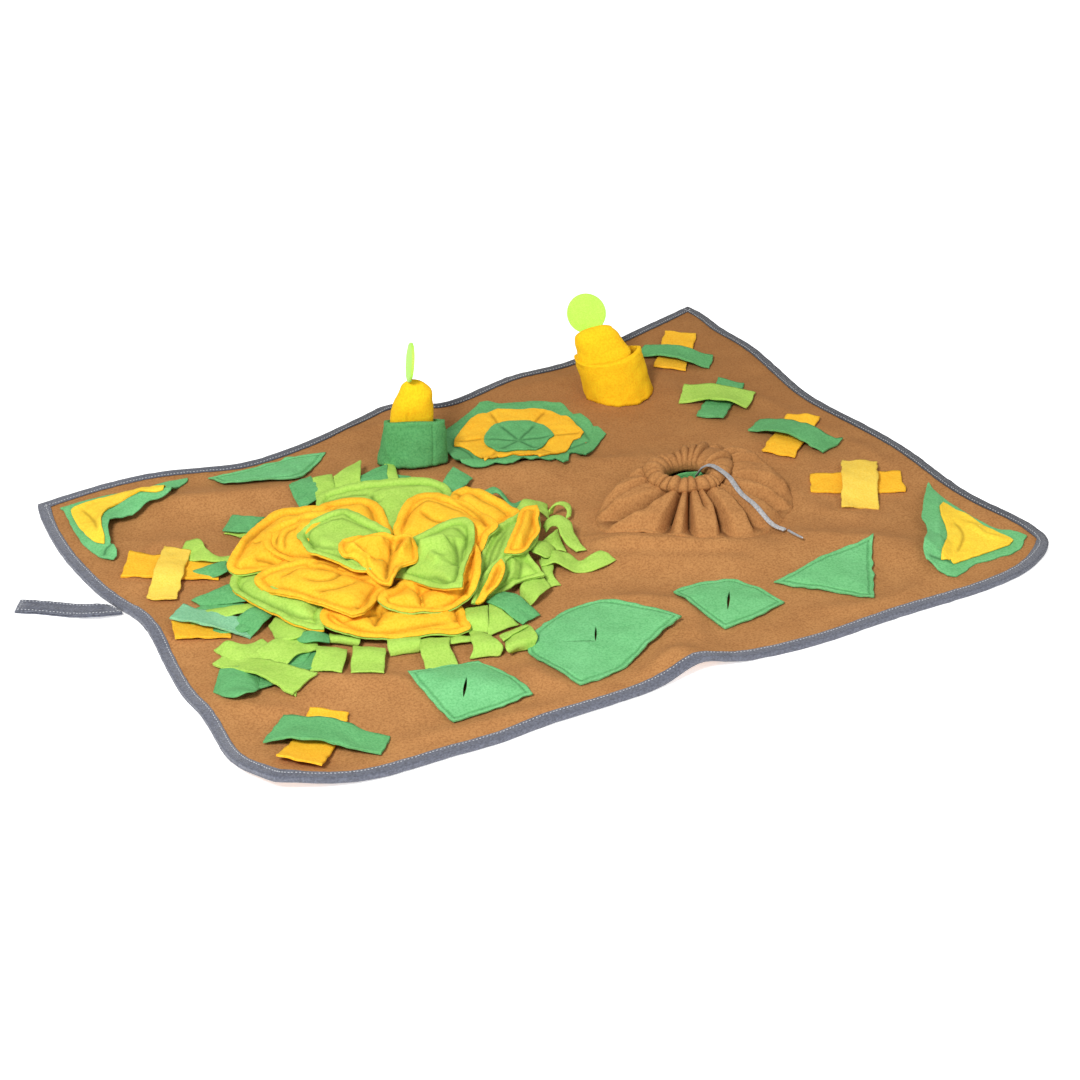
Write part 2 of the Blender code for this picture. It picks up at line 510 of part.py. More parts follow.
def base_grid():
    """Underside of the sheet as a grid of columns by rows."""
    back = smooth_run(BACK_EDGE, edge_steps(COLUMNS))
    front = smooth_run(FRONT_EDGE, edge_steps(COLUMNS))
    left = smooth_run(LEFT_EDGE, edge_steps(ROWS))
    right = smooth_run(RIGHT_EDGE, edge_steps(ROWS))
    grid = np.zeros((COLUMNS, ROWS, 3))
    grid[:, 0], grid[:, -1], grid[0, :], grid[-1, :] = front, back, left, right

    def inset(line, side):
        tangent = np.gradient(line[:, :2], axis=0)
        tangent /= np.linalg.norm(tangent, axis=1)[:, None]
        out = line.copy()
        out[:, 0] += -tangent[:, 1] * side * EDGE_BAND
        out[:, 1] += tangent[:, 0] * side * EDGE_BAND
        return out
    f2, b2 = inset(front, 1), inset(back, -1)
    l2, r2 = inset(left, -1), inset(right, 1)
    for ends, own, other, index in ((0, f2, l2, 1), (-1, f2, r2, 1), (0, b2, l2, -2), (-1, b2, r2, -2)):
        k = 1 if ends == 0 else -2
        middle = (own[k] + other[index]) / 2
        own[k] = middle
        other[index] = middle
    inner_f, inner_b = f2[1:-1], b2[1:-1]
    inner_l, inner_r = l2[1:-1], r2[1:-1]
    nu, nv = COLUMNS - 2, ROWS - 2
    u = np.linspace(0, 1, nu)[:, None, None]
    v = np.linspace(0, 1, nv)[None, :, None]
    coons = ((1 - v) * inner_f[:, None] + v * inner_b[:, None]
             + (1 - u) * inner_l[None] + u * inner_r[None]
             - ((1 - u) * (1 - v) * inner_f[0] + u * (1 - v) * inner_f[-1]
                + (1 - u) * v * inner_b[0] + u * v * inner_b[-1]))
    grid[1:-1, 1:-1] = coons
    lift = grid[:, :, 2].copy()
    folds = fold_height(grid[:, :, 0], grid[:, :, 1])
    z = np.zeros((COLUMNS, ROWS))
    for i in range(COLUMNS):
        for j in range(ROWS):
            ring = min(i, j, COLUMNS - 1 - i, ROWS - 1 - j)
            if ring == 0:
                z[i, j] = EDGE_RAISE + max(lift[i, j], folds[i, j])
            elif ring == 1:
                z[i, j] = -1.0
            elif ring == 2:
                ii = 0 if i == 2 else COLUMNS - 1 if i == COLUMNS - 3 else i
                jj = 0 if j == 2 else ROWS - 1 if j == ROWS - 3 else j
                z[i, j] = max(lift[ii, jj] * 0.35 - 0.6, folds[i, j])
            else:
                z[i, j] = folds[i, j]
            if 0 <= z[i, j] < 0.25:
                z[i, j] = 0.0
    for near, far, edge in ((1, 2, 0), (COLUMNS - 2, COLUMNS - 3, COLUMNS - 1)):
        z[near, 1:-1] = z[edge, 1:-1]
    for near, edge in ((1, 0), (ROWS - 2, ROWS - 1)):
        z[2:-2, near] = z[2:-2, edge]
    for i, ci, j, cj in ((1, 0, 1, 0), (1, 0, ROWS - 2, ROWS - 1), (COLUMNS - 2, COLUMNS - 1, 1, 0),
                         (COLUMNS - 2, COLUMNS - 1, ROWS - 2, ROWS - 1)):
        z[i, j] = z[i, cj] = z[ci, j] = z[ci, cj]
    grid[:, :, 2] = z
    return grid


def build_sheet():
    """The brown sheet and the tape round its edge."""
    grid = base_grid()
    verts = grid.reshape(-1, 3)
    faces = upward(verts, grid_faces(COLUMNS, ROWS))
    thick_sheet("base_mat", verts, faces, SHEET_THICK, "brown", upright=True, fixed=True)

    last_i, last_j = COLUMNS - 1, ROWS - 1
    loop = ([(i, 0) for i in range(last_i)] + [(last_i, j) for j in range(last_j)]
            + [(i, last_j) for i in range(last_i, 0, -1)] + [(0, j) for j in range(last_j, 0, -1)])
    gap = 0.4
    tape_end = BIND_WIDE
    section = [(-tape_end, SHEET_THICK + gap), (gap, SHEET_THICK + gap), (gap, -gap), (-tape_end, -gap),
               (-tape_end, -gap - BIND_THICK), (gap + BIND_THICK, -gap - BIND_THICK),
               (gap + BIND_THICK, SHEET_THICK + gap + BIND_THICK), (-tape_end, SHEET_THICK + gap + BIND_THICK)]
    verts, faces = [], []
    for i, j in loop:
        edge = grid[i, j]
        inner = grid[min(max(i, 1), last_i - 1), min(max(j, 1), last_j - 1)]
        per_mm = (inner - edge) / EDGE_BAND
        for along, up in section:
            p = edge - per_mm * along
            verts.append((p[0], p[1], p[2] + up))
    n, m = len(loop), len(section)
    for k in range(n):
        for s in range(m):
            a, b = k * m + s, k * m + (s + 1) % m
            c, d = ((k + 1) % n) * m + (s + 1) % m, ((k + 1) % n) * m + s
            faces += [(a, d, b), (d, c, b)]
    tape = make_object("edge_binding", verts, faces, "grey")
    face_out(tape)
    GROUND.add(tape)


def face_out(obj):
    """Turns all faces outward by the sign of the volume."""
    mesh = obj.data
    mesh.calc_loop_triangles()
    co = [v.co for v in mesh.vertices]
    volume = sum(co[t.vertices[0]].dot(co[t.vertices[1]].cross(co[t.vertices[2]])) for t in mesh.loop_triangles)
    if volume < 0:
        mesh.flip_normals()


def build_strips():
    """Crossed strips, the lower of each pair first."""
    along, across = 9, 3
    for name, row in STRIPS.items():
        r = dict(zip(STRIP, row))
        field = GROUND.spread(9)
        h = math.radians(r["heading"])
        ux, uy = math.cos(h), math.sin(h)
        verts = []
        for i in range(along):
            s = i / (along - 1)
            width = r["width0"] * (1 - s) + r["width1"] * s
            skew = math.tan(math.radians(r["skew0"] * (1 - s) + r["skew1"] * s))
            for j in range(across):
                t = (j / (across - 1) - 0.5) * width
                a = (s - 0.5) * r["length"] + t * skew
                x, y = r["x"] + a * ux - t * uy, r["y"] + a * uy + t * ux
                z = GROUND.sample(field, x, y) + GAP + r["arch"] * math.sin(math.pi * s) ** 2
                z += 0.9 * math.sin(3.0 * s + 2.0 * t / width + r["x"])+0.9
                verts.append((x, y, z))
        faces = upward(np.array(verts), grid_faces(along, across))
        thick_sheet(name, verts, faces, FELT_THICK, r["colour"])


def cut_slit(obj, row):
    """Cuts a slit with pointed ends through a patch."""
    x0, y0, x1, y1, gape = row
    dx, dy = x1 - x0, y1 - y0
    length = math.hypot(dx, dy)
    nx, ny = -dy / length, dx / length
    outline = []
    for t in np.linspace(0, 1, 7):
        outline.append((t, gape / 2 * math.sin(math.pi * t)))
    for t in np.linspace(1, 0, 7)[1:-1]:
        outline.append((t, -gape / 2 * math.sin(math.pi * t)))
    verts = [(x0 + dx * t + nx * w, y0 + dy * t + ny * w, z) for z in (-5, 60) for t, w in outline]
    n = len(outline)
    faces = [tuple(range(n))[::-1], tuple(range(n, 2 * n))]
    faces += [(k, (k + 1) % n, (k + 1) % n + n, k + n) for k in range(n)]
    tool = make_object("slit_tool", verts, faces, "green")
    face_out(tool)
    cut = obj.modifiers.new("slit", "BOOLEAN")
    cut.operation, cut.solver, cut.object = "DIFFERENCE", "EXACT", tool
    graph = bpy.context.evaluated_depsgraph_get()
    mesh = bpy.data.meshes.new_from_object(obj.evaluated_get(graph))
    obj.modifiers.clear()
    obj.data = mesh
    bpy.data.objects.remove(tool, do_unlink=True)


def build_patches(names):
    """Sewn patches with a raised middle."""
    for name in names:
        colour, crown, corners = PATCHES[name]
        field = GROUND.spread(4)
        pts = np.asarray(corners, float)
        n = 18 if len(corners) < 13 else 22
        rim = closed_run(pts, n)
        n = len(rim)
        middle = star_middle(rim)
        rings = [0.5, 0.86, 1.0] if crown or name == "target_outer" else [0.55, 1.0]
        verts, weight = [], []
        for k, s in enumerate(rings):
            for p in rim:
                x, y = middle[0] + (p[0] - middle[0]) * s, middle[1] + (p[1] - middle[1]) * s
                rise = p[2] * s ** 2 + crown * (1 - s ** 2)
                verts.append((x, y, GROUND.sample(field, x, y) + GAP + rise))
        verts.append((middle[0], middle[1], GROUND.sample(field, middle[0], middle[1]) + GAP + crown))
        faces = [(k, (k + 1) % n, len(verts) - 1) for k in range(n)]
        for r in range(len(rings) - 1):
            a, b = r * n, (r + 1) * n
            faces += [(a + k, b + k, b + (k + 1) % n, a + (k + 1) % n) for k in range(n)]
        faces = consistent(np.array(verts), faces)
        obj = thick_sheet(name, verts, faces, FELT_THICK, colour)
        for row in SLITS.get(name, []):
            cut_slit(obj, row)


def star_middle(rim):
    """Point that sees the whole outline, as deep inside it as there is."""
    a, b = rim[:, :2], np.roll(rim[:, :2], -1, axis=0)
    side = b - a
    turn = np.sign(np.sum(a[:, 0] * b[:, 1] - b[:, 0] * a[:, 1]))
    low, high = a.min(axis=0), a.max(axis=0)
    best, found = -1e9, rim.mean(axis=0)[:2]
    for x in np.linspace(low[0], high[0], 25):
        for y in np.linspace(low[1], high[1], 25):
            depth = turn * (side[:, 0] * (y - a[:, 1]) - side[:, 1] * (x - a[:, 0])) / np.hypot(side[:, 0], side[:, 1])
            if depth.min() > best:
                best, found = depth.min(), np.array([x, y])
    return np.array([found[0], found[1], 0.0])


def consistent(verts, faces):
    """Every face of a plan sheet turned upward on its own."""
    out = []
    for f in faces:
        area = 0.0
        for k in range(1, len(f) - 1):
            a, b, c = verts[f[0]], verts[f[k]], verts[f[k + 1]]
            area += (b[0] - a[0]) * (c[1] - a[1]) - (c[0] - a[0]) * (b[1] - a[1])
        out.append(f if area > 0 else tuple(reversed(f)))
    return out


def build_fringe(name, tabs, colour, hole, lowest):
    """Ring of backing cloth with tabs grown from its rim."""
    field = GROUND.spread(9)
    rows = sorted(tabs, key=lambda r: r[1])
    angles = []
    for row in rows:
        angles += [row[1] - TAB_HALF_DEG, row[1] + TAB_HALF_DEG]
    extra = []
    for a, b in zip(angles[1::2], angles[2::2] + [angles[0] + 360]):
        if b - a > 24:
            extra += list(np.linspace(a, b, int((b - a) // 20) + 2)[1:-1])
    rim = sorted(angles + extra)
    n = len(rim)
    verts, faces = [], []

    def put(x, y, rise):
        verts.append((x, y, max(lowest, float(GROUND.sample(field, x, y)) + GAP) + rise))
        return len(verts) - 1
    inner = [put(FLOWER[0] + hole * math.cos(math.radians(a)), FLOWER[1] + hole * math.sin(math.radians(a)), 0) for a in rim]
    outer = [put(FLOWER[0] + BACKING_R * math.cos(math.radians(a)), FLOWER[1] + BACKING_R * math.sin(math.radians(a)), 0) for a in rim]
    faces += [(inner[k], outer[k], outer[(k + 1) % n], inner[(k + 1) % n]) for k in range(n)]
    for label, angle, ex, ey, width, way in rows:
        k = rim.index(angle - TAB_HALF_DEG)
        left, right = outer[k], outer[(k + 1) % n]
        a, b = np.array(verts[left]), np.array(verts[right])
        start = (a + b) / 2
        run = np.array([ex, ey]) - start[:2]
        length = np.linalg.norm(run)
        ux, uy = run / length
        half0 = np.linalg.norm(b[:2] - a[:2]) / 2
        last = (left, right)
        for part, rise in WAYS[way]:
            half = half0 + (width / 2 - half0) * min(1.0, part * 1.6)
            if label in ("left_point", "right_long"):
                half = half0 + (width / 2 - half0) * part
            cx, cy = start[0] + ux * length * part, start[1] + uy * length * part
            now = (put(cx + uy * half, cy - ux * half, rise), put(cx - uy * half, cy + ux * half, rise))
            faces.append((last[0], now[0], now[1], last[1]))
            last = now
    thick_sheet(name, verts, faces, FELT_THICK, colour)


def build_petals():
    """Padded petals, from the outer layer to the middle."""
    rows, cols = 7, 6
    for name, values in PETALS.items():
        r = dict(zip(PETAL, values))
        root, left, tip, right = (np.array(r[k], float) for k in ("root", "left", "tip", "right"))
        axis = tip[:2] - root[:2]
        axis /= np.linalg.norm(axis)
        side = np.array([-axis[1], axis[0]])
        if (left[:2] - right[:2]) @ side < 0:
            side = -side
        field = GROUND.spread(9)
        verts, pad = [], []
        for i in range(rows):
            s = (i / (rows - 1)) ** 0.9
            for j in range(cols):
                t = 1 - 2 * j / (cols - 1)           # +1 on the left side
                a = t * (t + 1) / 2
                b = 1 - t * t
                c = t * (t - 1) / 2
                end = a * left + b * tip + c * right
                ss = s * (1 - r["round"] * abs(t) ** 4)
                base = root[:2] + side * t * r["root_wide"] / 2
                bulge = side * t * math.sin(math.pi * s) * r["bulge"]
                xy = base * (1 - ss) + end[:2] * ss + bulge
                z = root[2] + (end[2] - root[2]) * ss ** 1.4
                z += r["ridge"] * (1 - t * t) * math.sin(math.pi * min(1.0, s * 0.62 + 0.1))
                low = float(GROUND.sample(field, xy[0], xy[1])) + GAP
                verts.append((xy[0], xy[1], max(z, low)))
                edge = min(1 - abs(t), (1 - s), 0.34 + s) if i else 0.0
                pad.append(PETAL_EDGE + r["crown"] * min(1.0, max(0.0, edge) / 0.34) ** 0.7)
        faces = upward(np.array(verts), grid_faces(rows, cols))
        thick_sheet(name, verts, faces, np.array(pad), r["colour"])


def ring_solid(name, rings, colour, closed=True, caps=False):
    """Solid from rings of points; a tube wall when the rings close on each other."""
    n = len(rings[0])
    verts = [p for ring in rings for p in ring]
    faces = []
    count = len(rings) if closed else len(rings) - 1
    for r in range(count):
        a, b = r * n, ((r + 1) % len(rings)) * n
        for k in range(n):
            j = (k + 1) % n
            faces += [(a + k, a + j, b + j), (a + k, b + j, b + k)]
    if caps:
        for r, turn in ((0, True), (len(rings) - 1, False)):
            middle = len(verts)
            verts.append(tuple(np.mean(rings[r], axis=0)))
            for k in range(n):
                f = (r * n + k, r * n + (k + 1) % n, middle)
                faces.append(tuple(reversed(f)) if turn else f)
    obj = make_object(name, verts, faces, colour)
    face_out(obj)
    GROUND.add(obj)
    return obj


def oval(x, y, half_wide, half_deep, heading, angle):
    """Plan point of an oval at an angle from its width."""
    h = math.radians(heading)
    u, v = half_wide * math.cos(angle), half_deep * math.sin(angle)
    return x + u * math.cos(h) - v * math.sin(h), y + u * math.sin(h) + v * math.cos(h)


def build_pots():
    """Open cloth pots."""
    sides = 24
    field = BARE.spread(8)
    for name, pot in POTS.items():
        fx, fy, fw, fd = pot["foot"]
        rx, ry, rw, rd = pot["rim"]
        turn = [2 * math.pi * k / sides for k in range(sides)]
        rings = []
        for s, inward in ((0, 0), (0.5, 0), (1, 0), (1, POT_WALL), (0.5, POT_WALL), (0, POT_WALL)):
            ring = []
            for a in turn:
                side = 0.5 + 0.5 * math.cos(a)
                rim = pot["rim_left"] * (1 - side) + pot["rim_right"] * side
                rim += (pot["rim_front"] - (pot["rim_left"] + pot["rim_right"]) / 2) * max(0.0, -math.sin(a)) ** 2
                x, y = oval(fx + (rx - fx) * s, fy + (ry - fy) * s, fw + (rw - fw) * s - inward,
                            fd + (rd - fd) * s - inward, pot["heading"], a)
                low = float(BARE.sample(field, x, y)) + GAP
                ring.append((x, y, low + (rim - low) * s))
            rings.append(ring)
        ring_solid(name, rings, pot["colour"])


def build_carrots():
    """Stuffed carrots that stand in the pots, each with a felt disc."""
    for name, c in CARROTS.items():
        fx, fy = c["foot"]
        foot = np.array([fx, fy, float(BARE.sample(BARE.spread(24), fx, fy)) + GAP])
        top = np.array(c["top"], float)
        lean = math.hypot(top[0] - foot[0], top[1] - foot[1]) / (top[2] - foot[2])
        foot[2] += 0.6 + lean * CARROT_PROFILE[0][1] * max(c["half"])
        axis = top - foot
        axis /= np.linalg.norm(axis)
        h = math.radians(c["heading"])
        across = np.array([math.cos(h), math.sin(h), 0.0])
        across -= axis * (across @ axis)
        across /= np.linalg.norm(across)
        other = np.cross(axis, across)
        rings = []
        for s, part in CARROT_PROFILE:
            ring = []
            for k in range(12):
                a = 2 * math.pi * k / 12
                flat = 1.0 if k % 2 == 0 else 0.95
                ring.append(tuple(foot + (top - foot) * s + (across * math.cos(a) * c["half"][0]
                                                             + other * math.sin(a) * c["half"][1]) * part * flat))
            rings.append(ring)
        ring_solid(name, rings, "yellow", closed=False, caps=True)
    for name, leaf in LEAVES.items():
        normal = np.array(leaf["normal"], float)
        normal /= np.linalg.norm(normal)
        across = np.cross(normal, (0.0, 0.0, 1.0))
        across /= np.linalg.norm(across)
        other = np.cross(normal, across)
        middle = np.array(leaf["middle"], float)
        rings = []
        for off in (-FELT_THICK / 2, FELT_THICK / 2):
            rings.append([tuple(middle + normal * off + (across * math.cos(a) + other * math.sin(a)) * leaf["radius"])
                          for a in np.linspace(0, 2 * math.pi, 20, endpoint=False)])
        ring_solid(name, rings, "neon", closed=False, caps=True)


def by_angle(points, centre, angles):
    """Outline as a radius at each angle round a centre."""
    loop = closed_run(points, 160)
    a = np.unwrap(np.arctan2(loop[:, 1] - centre[1], loop[:, 0] - centre[0]))
    r = np.hypot(loop[:, 0] - centre[0], loop[:, 1] - centre[1])
    if a[-1] < a[0]:
        a, r = a[::-1], r[::-1]
    order = np.argsort(np.mod(a, 2 * math.pi))
    am, rm = np.mod(a, 2 * math.pi)[order], r[order]
    return np.interp(np.mod(angles, 2 * math.pi), am, rm, period=2 * math.pi)


def build_pouch():
    """Gathered bag with a mouth, and the green cloth in it."""
    mouth = np.mean(POUCH_MOUTH, axis=0)
    lining = [(mouth[0] + 34 * math.cos(a), mouth[1] + 30 * math.sin(a), 0)
              for a in np.linspace(0, 2 * math.pi, 14, endpoint=False)]
    PATCHES["pouch_lining"] = ("green", 2, lining)
    build_patches(["pouch_lining"])
    angles = np.linspace(0, 2 * math.pi, POUCH_SECTORS, endpoint=False)
    middle = np.array([190.0, -38.0])
    foot = by_angle(POUCH_FOOT, middle, angles)
    hem = by_angle(POUCH_HEM, middle, angles)
    hole = by_angle(POUCH_MOUTH, mouth, angles)
    field = BARE.spread(8)
    dirs = np.column_stack([np.cos(angles), np.sin(angles)])
    rows = []
    zig = np.where(np.arange(POUCH_SECTORS) % 2 == 0, 1.0, -1.0)
    valley = np.zeros(POUCH_SECTORS)
    for heading, depth, half in POUCH_PLEATS:
        off = np.abs((np.degrees(angles) - heading + 180) % 360 - 180)
        valley = np.maximum(valley, depth * np.cos(np.clip(off / half, 0, 1) * math.pi / 2) ** 2)
    for part, z, pleat in POUCH_STEPS:
        radius = foot * (1 - part) + hem * part - valley * pleat * 0.4
        xy = middle + dirs * radius[:, None]
        ground = BARE.sample(field, xy[:, 0], xy[:, 1]) + GAP
        height = z - valley * pleat * 0.9
        if part == 0.0:
            height = ground
        else:
            height = np.maximum(height, ground + z * 0.35)
        if part == 1.0:
            xy = xy + dirs * (zig * 1.2)[:, None]
            height = height + zig * 1.4
        rows.append(np.column_stack([xy, height]))
    hem_xy = middle + dirs * hem[:, None]
    for part, z, pleat in POUCH_MOUTH_STEPS:
        hole_xy = mouth + dirs * hole[:, None]
        xy = hem_xy * (1 - part) + hole_xy * part + dirs * (zig * pleat * 0.4)[:, None]
        height = z + zig * pleat * 0.7
        rows.append(np.column_stack([xy, height]))
    verts = np.vstack(rows)
    n = POUCH_SECTORS
    faces = []
    for r in range(len(rows) - 1):
        for k in range(n):
            j = (k + 1) % n
            faces.append((r * n + k, r * n + j, (r + 1) * n + j, (r + 1) * n + k))
    thick_sheet("pouch", verts, faces, 2.4, "brown", fixed=True)


def build_lace():
    """Drawcord from the mouth over the hem to the sheet, and its metal tip."""
    field = GROUND.spread(6)
    marks = []
    for x, y, over, z in LACE_ROUTE:
        if z is None:
            z = float(GROUND.sample(field, x, y)) + over + LACE_HALF
        marks.append((x, y, z))
    points = smooth_run(marks, lambda length: np.linspace(0, length, int(length / LACE_STEP) + 1))
    for p in points[len(points) // 3:]:
        p[2] = max(p[2], float(GROUND.sample(field, p[0], p[1])) + 0.6 + LACE_HALF)
    curve = bpy.data.curves.new("lace", "CURVE")
    curve.dimensions = "3D"
    curve.twist_mode = "Z_UP"
    curve.bevel_depth = LACE_HALF * MM
    curve.bevel_resolution = 2
    curve.use_fill_caps = True
    spline = curve.splines.new("POLY")
    spline.points.add(len(points) - 1)
    for k, p in enumerate(points):
        spline.points[k].co = (p[0] * MM, p[1] * MM, p[2] * MM, 1.0)
    obj = bpy.data.objects.new("lace", curve)
    bpy.context.collection.objects.link(obj)
    paint(obj, "lace")
    end = points[-1].copy()
    before = points[-2].copy()
    step = (end - before) / np.linalg.norm(end - before)
    start = end + step * 0.35
    under = [float(GROUND.sample(field, start[0] + (LACE_TIP_END[0] - start[0]) * k / 5,
                                 start[1] + (LACE_TIP_END[1] - start[1]) * k / 5)) for k in range(6)]
    tip_end = np.array([LACE_TIP_END[0], LACE_TIP_END[1], max(under) + 1.2 + LACE_HALF])
    axis = (tip_end - start) / np.linalg.norm(tip_end - start)
    across = np.cross(axis, (0, 0, 1.0))
    across /= np.linalg.norm(across)
    other = np.cross(axis, across)
    length = np.linalg.norm(tip_end - start)
    rings = [[tuple(start + axis * length * s + (across * math.cos(a) + other * math.sin(a)) * radius)
              for a in np.linspace(0, 2 * math.pi, 8, endpoint=False)]
             for s, radius in ((0, 1.6), (0.9, 1.6), (1.0, 1.1))]
    ring_solid("lace_tip", rings, "grey", closed=False, caps=True)


def build_strap():
    """Doubled tape that hangs the mat."""
    line = smooth_run(STRAP_LINE, 12)
    tangent = np.gradient(line[:, :2], axis=0)
    tangent /= np.linalg.norm(tangent, axis=1)[:, None]
    normal = np.column_stack([-tangent[:, 1], tangent[:, 0]])
    for k, share in ((0, 1.0), (1, 0.5)):
        normal[k] = normal[k] * (1 - share) + np.array(STRAP_ROOT) * share
    step = STRAP_THICK + STRAP_GAP
    lower = [(p, t, n, 0.3) for p, t, n in zip(line, tangent, normal)]
    end, direction = line[-1], tangent[-1]
    fold = []
    for k, a in enumerate(np.linspace(-60, 60, 4)):
        r = (step - 0.2) / 2
        p = end.copy()
        p[:2] += direction * (2.2 + r * math.cos(math.radians(a)))
        fold.append((p, direction, normal[-1], 0.3 + r + r * math.sin(math.radians(a))))
    upper = [(p, t, n, 0.3 + step) for p, t, n in zip(line[::-1], tangent[::-1], normal[::-1])]
    verts = []
    for p, t, n, up in lower + fold + upper:
        for w in (-1, 1):
            verts.append((p[0] + n[0] * w * STRAP_WIDE / 2, p[1] + n[1] * w * STRAP_WIDE / 2, p[2] + up))
    rows = len(lower) + len(fold) + len(upper)
    faces = grid_faces(rows, 2)
    obj = thick_sheet("hanging_loop", verts, faces, STRAP_THICK, "grey", fixed=True)
    face_out(obj)
    return obj


def main():
    """Builds the whole mat, from the bottom up."""
    reset_scene()
    build_sheet()
    BARE.top = GROUND.top.copy()
    build_strap()
    build_patches(["pocket_near", "pocket_large", "pocket_small", "leaf_right", "leaf_back",
                   "corner_left_pocket", "corner_left_inset", "corner_right_pocket",
                   "corner_right_inset", "target_outer", "target_ring", "target_centre"])
    build_strips()
    build_fringe("fringe_green", TABS_GREEN, "green", BACKING_HOLE, 0.0)
    build_fringe("fringe_lime", TABS_LIME, "lime", BACKING_HOLE, 0.0)
    build_petals()
    build_pots()
    build_carrots()
    build_pouch()
    build_lace()


main()
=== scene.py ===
"""Looks of the snuffle mat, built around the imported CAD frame.

The sheet, tapes, strips, leaves, slit pockets and pots are finer copies of their CAD solids.
Petals, patches, fringe tabs, carrots, pouch and drawcord are made from the lines in the tables.
Sizes in the tables are millimetres; meshes are in metres, in the CAD frame.
"""

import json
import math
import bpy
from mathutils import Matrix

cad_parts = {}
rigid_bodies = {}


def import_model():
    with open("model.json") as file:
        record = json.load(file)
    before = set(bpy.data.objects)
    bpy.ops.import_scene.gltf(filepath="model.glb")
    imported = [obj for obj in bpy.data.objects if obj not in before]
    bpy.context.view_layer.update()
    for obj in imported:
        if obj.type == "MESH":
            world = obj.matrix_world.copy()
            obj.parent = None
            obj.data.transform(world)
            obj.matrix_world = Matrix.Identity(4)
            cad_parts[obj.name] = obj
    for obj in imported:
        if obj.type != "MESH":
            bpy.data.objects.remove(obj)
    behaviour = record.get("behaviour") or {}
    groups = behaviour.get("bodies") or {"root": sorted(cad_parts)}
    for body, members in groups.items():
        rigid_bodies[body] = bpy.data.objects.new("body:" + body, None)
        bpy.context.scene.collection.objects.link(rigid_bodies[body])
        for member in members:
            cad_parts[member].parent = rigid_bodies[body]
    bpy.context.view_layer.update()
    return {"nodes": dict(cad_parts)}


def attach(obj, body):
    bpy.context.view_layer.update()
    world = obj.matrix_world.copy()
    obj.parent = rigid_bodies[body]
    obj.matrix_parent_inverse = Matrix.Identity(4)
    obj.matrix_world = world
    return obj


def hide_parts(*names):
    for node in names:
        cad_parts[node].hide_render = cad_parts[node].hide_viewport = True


bl_info = {
    "name": "Snuffle mat",
    "version": (1, 0, 0),
    "blender": (4, 5, 0),
    "location": "3D View > Sidebar > Mat",
    "description": "Builds a fleece foraging mat around its CAD frame",
    "category": "Add Mesh",
}

import bmesh
import bpy
import numpy as np
from bpy.props import FloatProperty, FloatVectorProperty, PointerProperty
from mathutils import Matrix, Vector
from mathutils.bvhtree import BVHTree
from mathutils.geometry import delaunay_2d_cdt
from mathutils.kdtree import KDTree

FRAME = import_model()
NODES = FRAME["nodes"]
MM = 0.001

# photograph: where the camera stood, which way it looked
CAMERA_AT = (-1.3159, -2.1600, 1.4456)
CAMERA_LOOK = (0.4519, 0.7388, -0.5)
CAMERA_LENS = 83.33

TOP, UNDER, EDGE = 0, 1, 2        # sides of a cloth piece

# ---------------------------------------------------------------- cloths
# colour of the face, and the shade deep in its pile
CLOTHS = {
    "brown": ("B47F4C", "8C5C33"), "green": ("66AC6C", "4A8F54"),
    # the pot's darker green is the green fleece darkened: painted shade on the upright pot
    "spring": ("74BE7D", "54A061"), "deep": ("5BA061", "3F824A"), "sun": ("FCD641", "F4BA2C"),
    "gold": ("FAC61E", "F2AA10"), "mint": ("86C296", "68A97C"), "lime": ("AAD05C", "8CBA46"),
    "yellow": ("F8BE34", "F0A21A"), "pale": ("F4D056", "ECBE3C"),
}

# sewn-on pieces and their cloths, lower ones first
FLAT_PIECES = {
    "leaf_back": "spring", "leaf_right": "spring",
    "pocket_near": "spring", "pocket_large": "spring", "pocket_small": "spring",
    "corner_left_pocket": "spring", "corner_left_inset": "sun",
    "corner_right_pocket": "spring", "corner_right_inset": "sun",
    "target_outer": "green", "target_ring": "yellow", "target_centre": "green",
}
# crossed strips: cloth of the lower and of the upper one
STRIPS = {
    "strip_far": ("yellow", "green"), "strip_second": ("green", "lime"),
    "strip_third": ("yellow", "green"), "strip_fourth": ("yellow", "pale"),
    "strip_near": ("yellow", "green"), "strip_left": ("green", "lime"),
    "strip_back_left": ("yellow", "pale"), "strip_tip": ("yellow", "mint"),
}
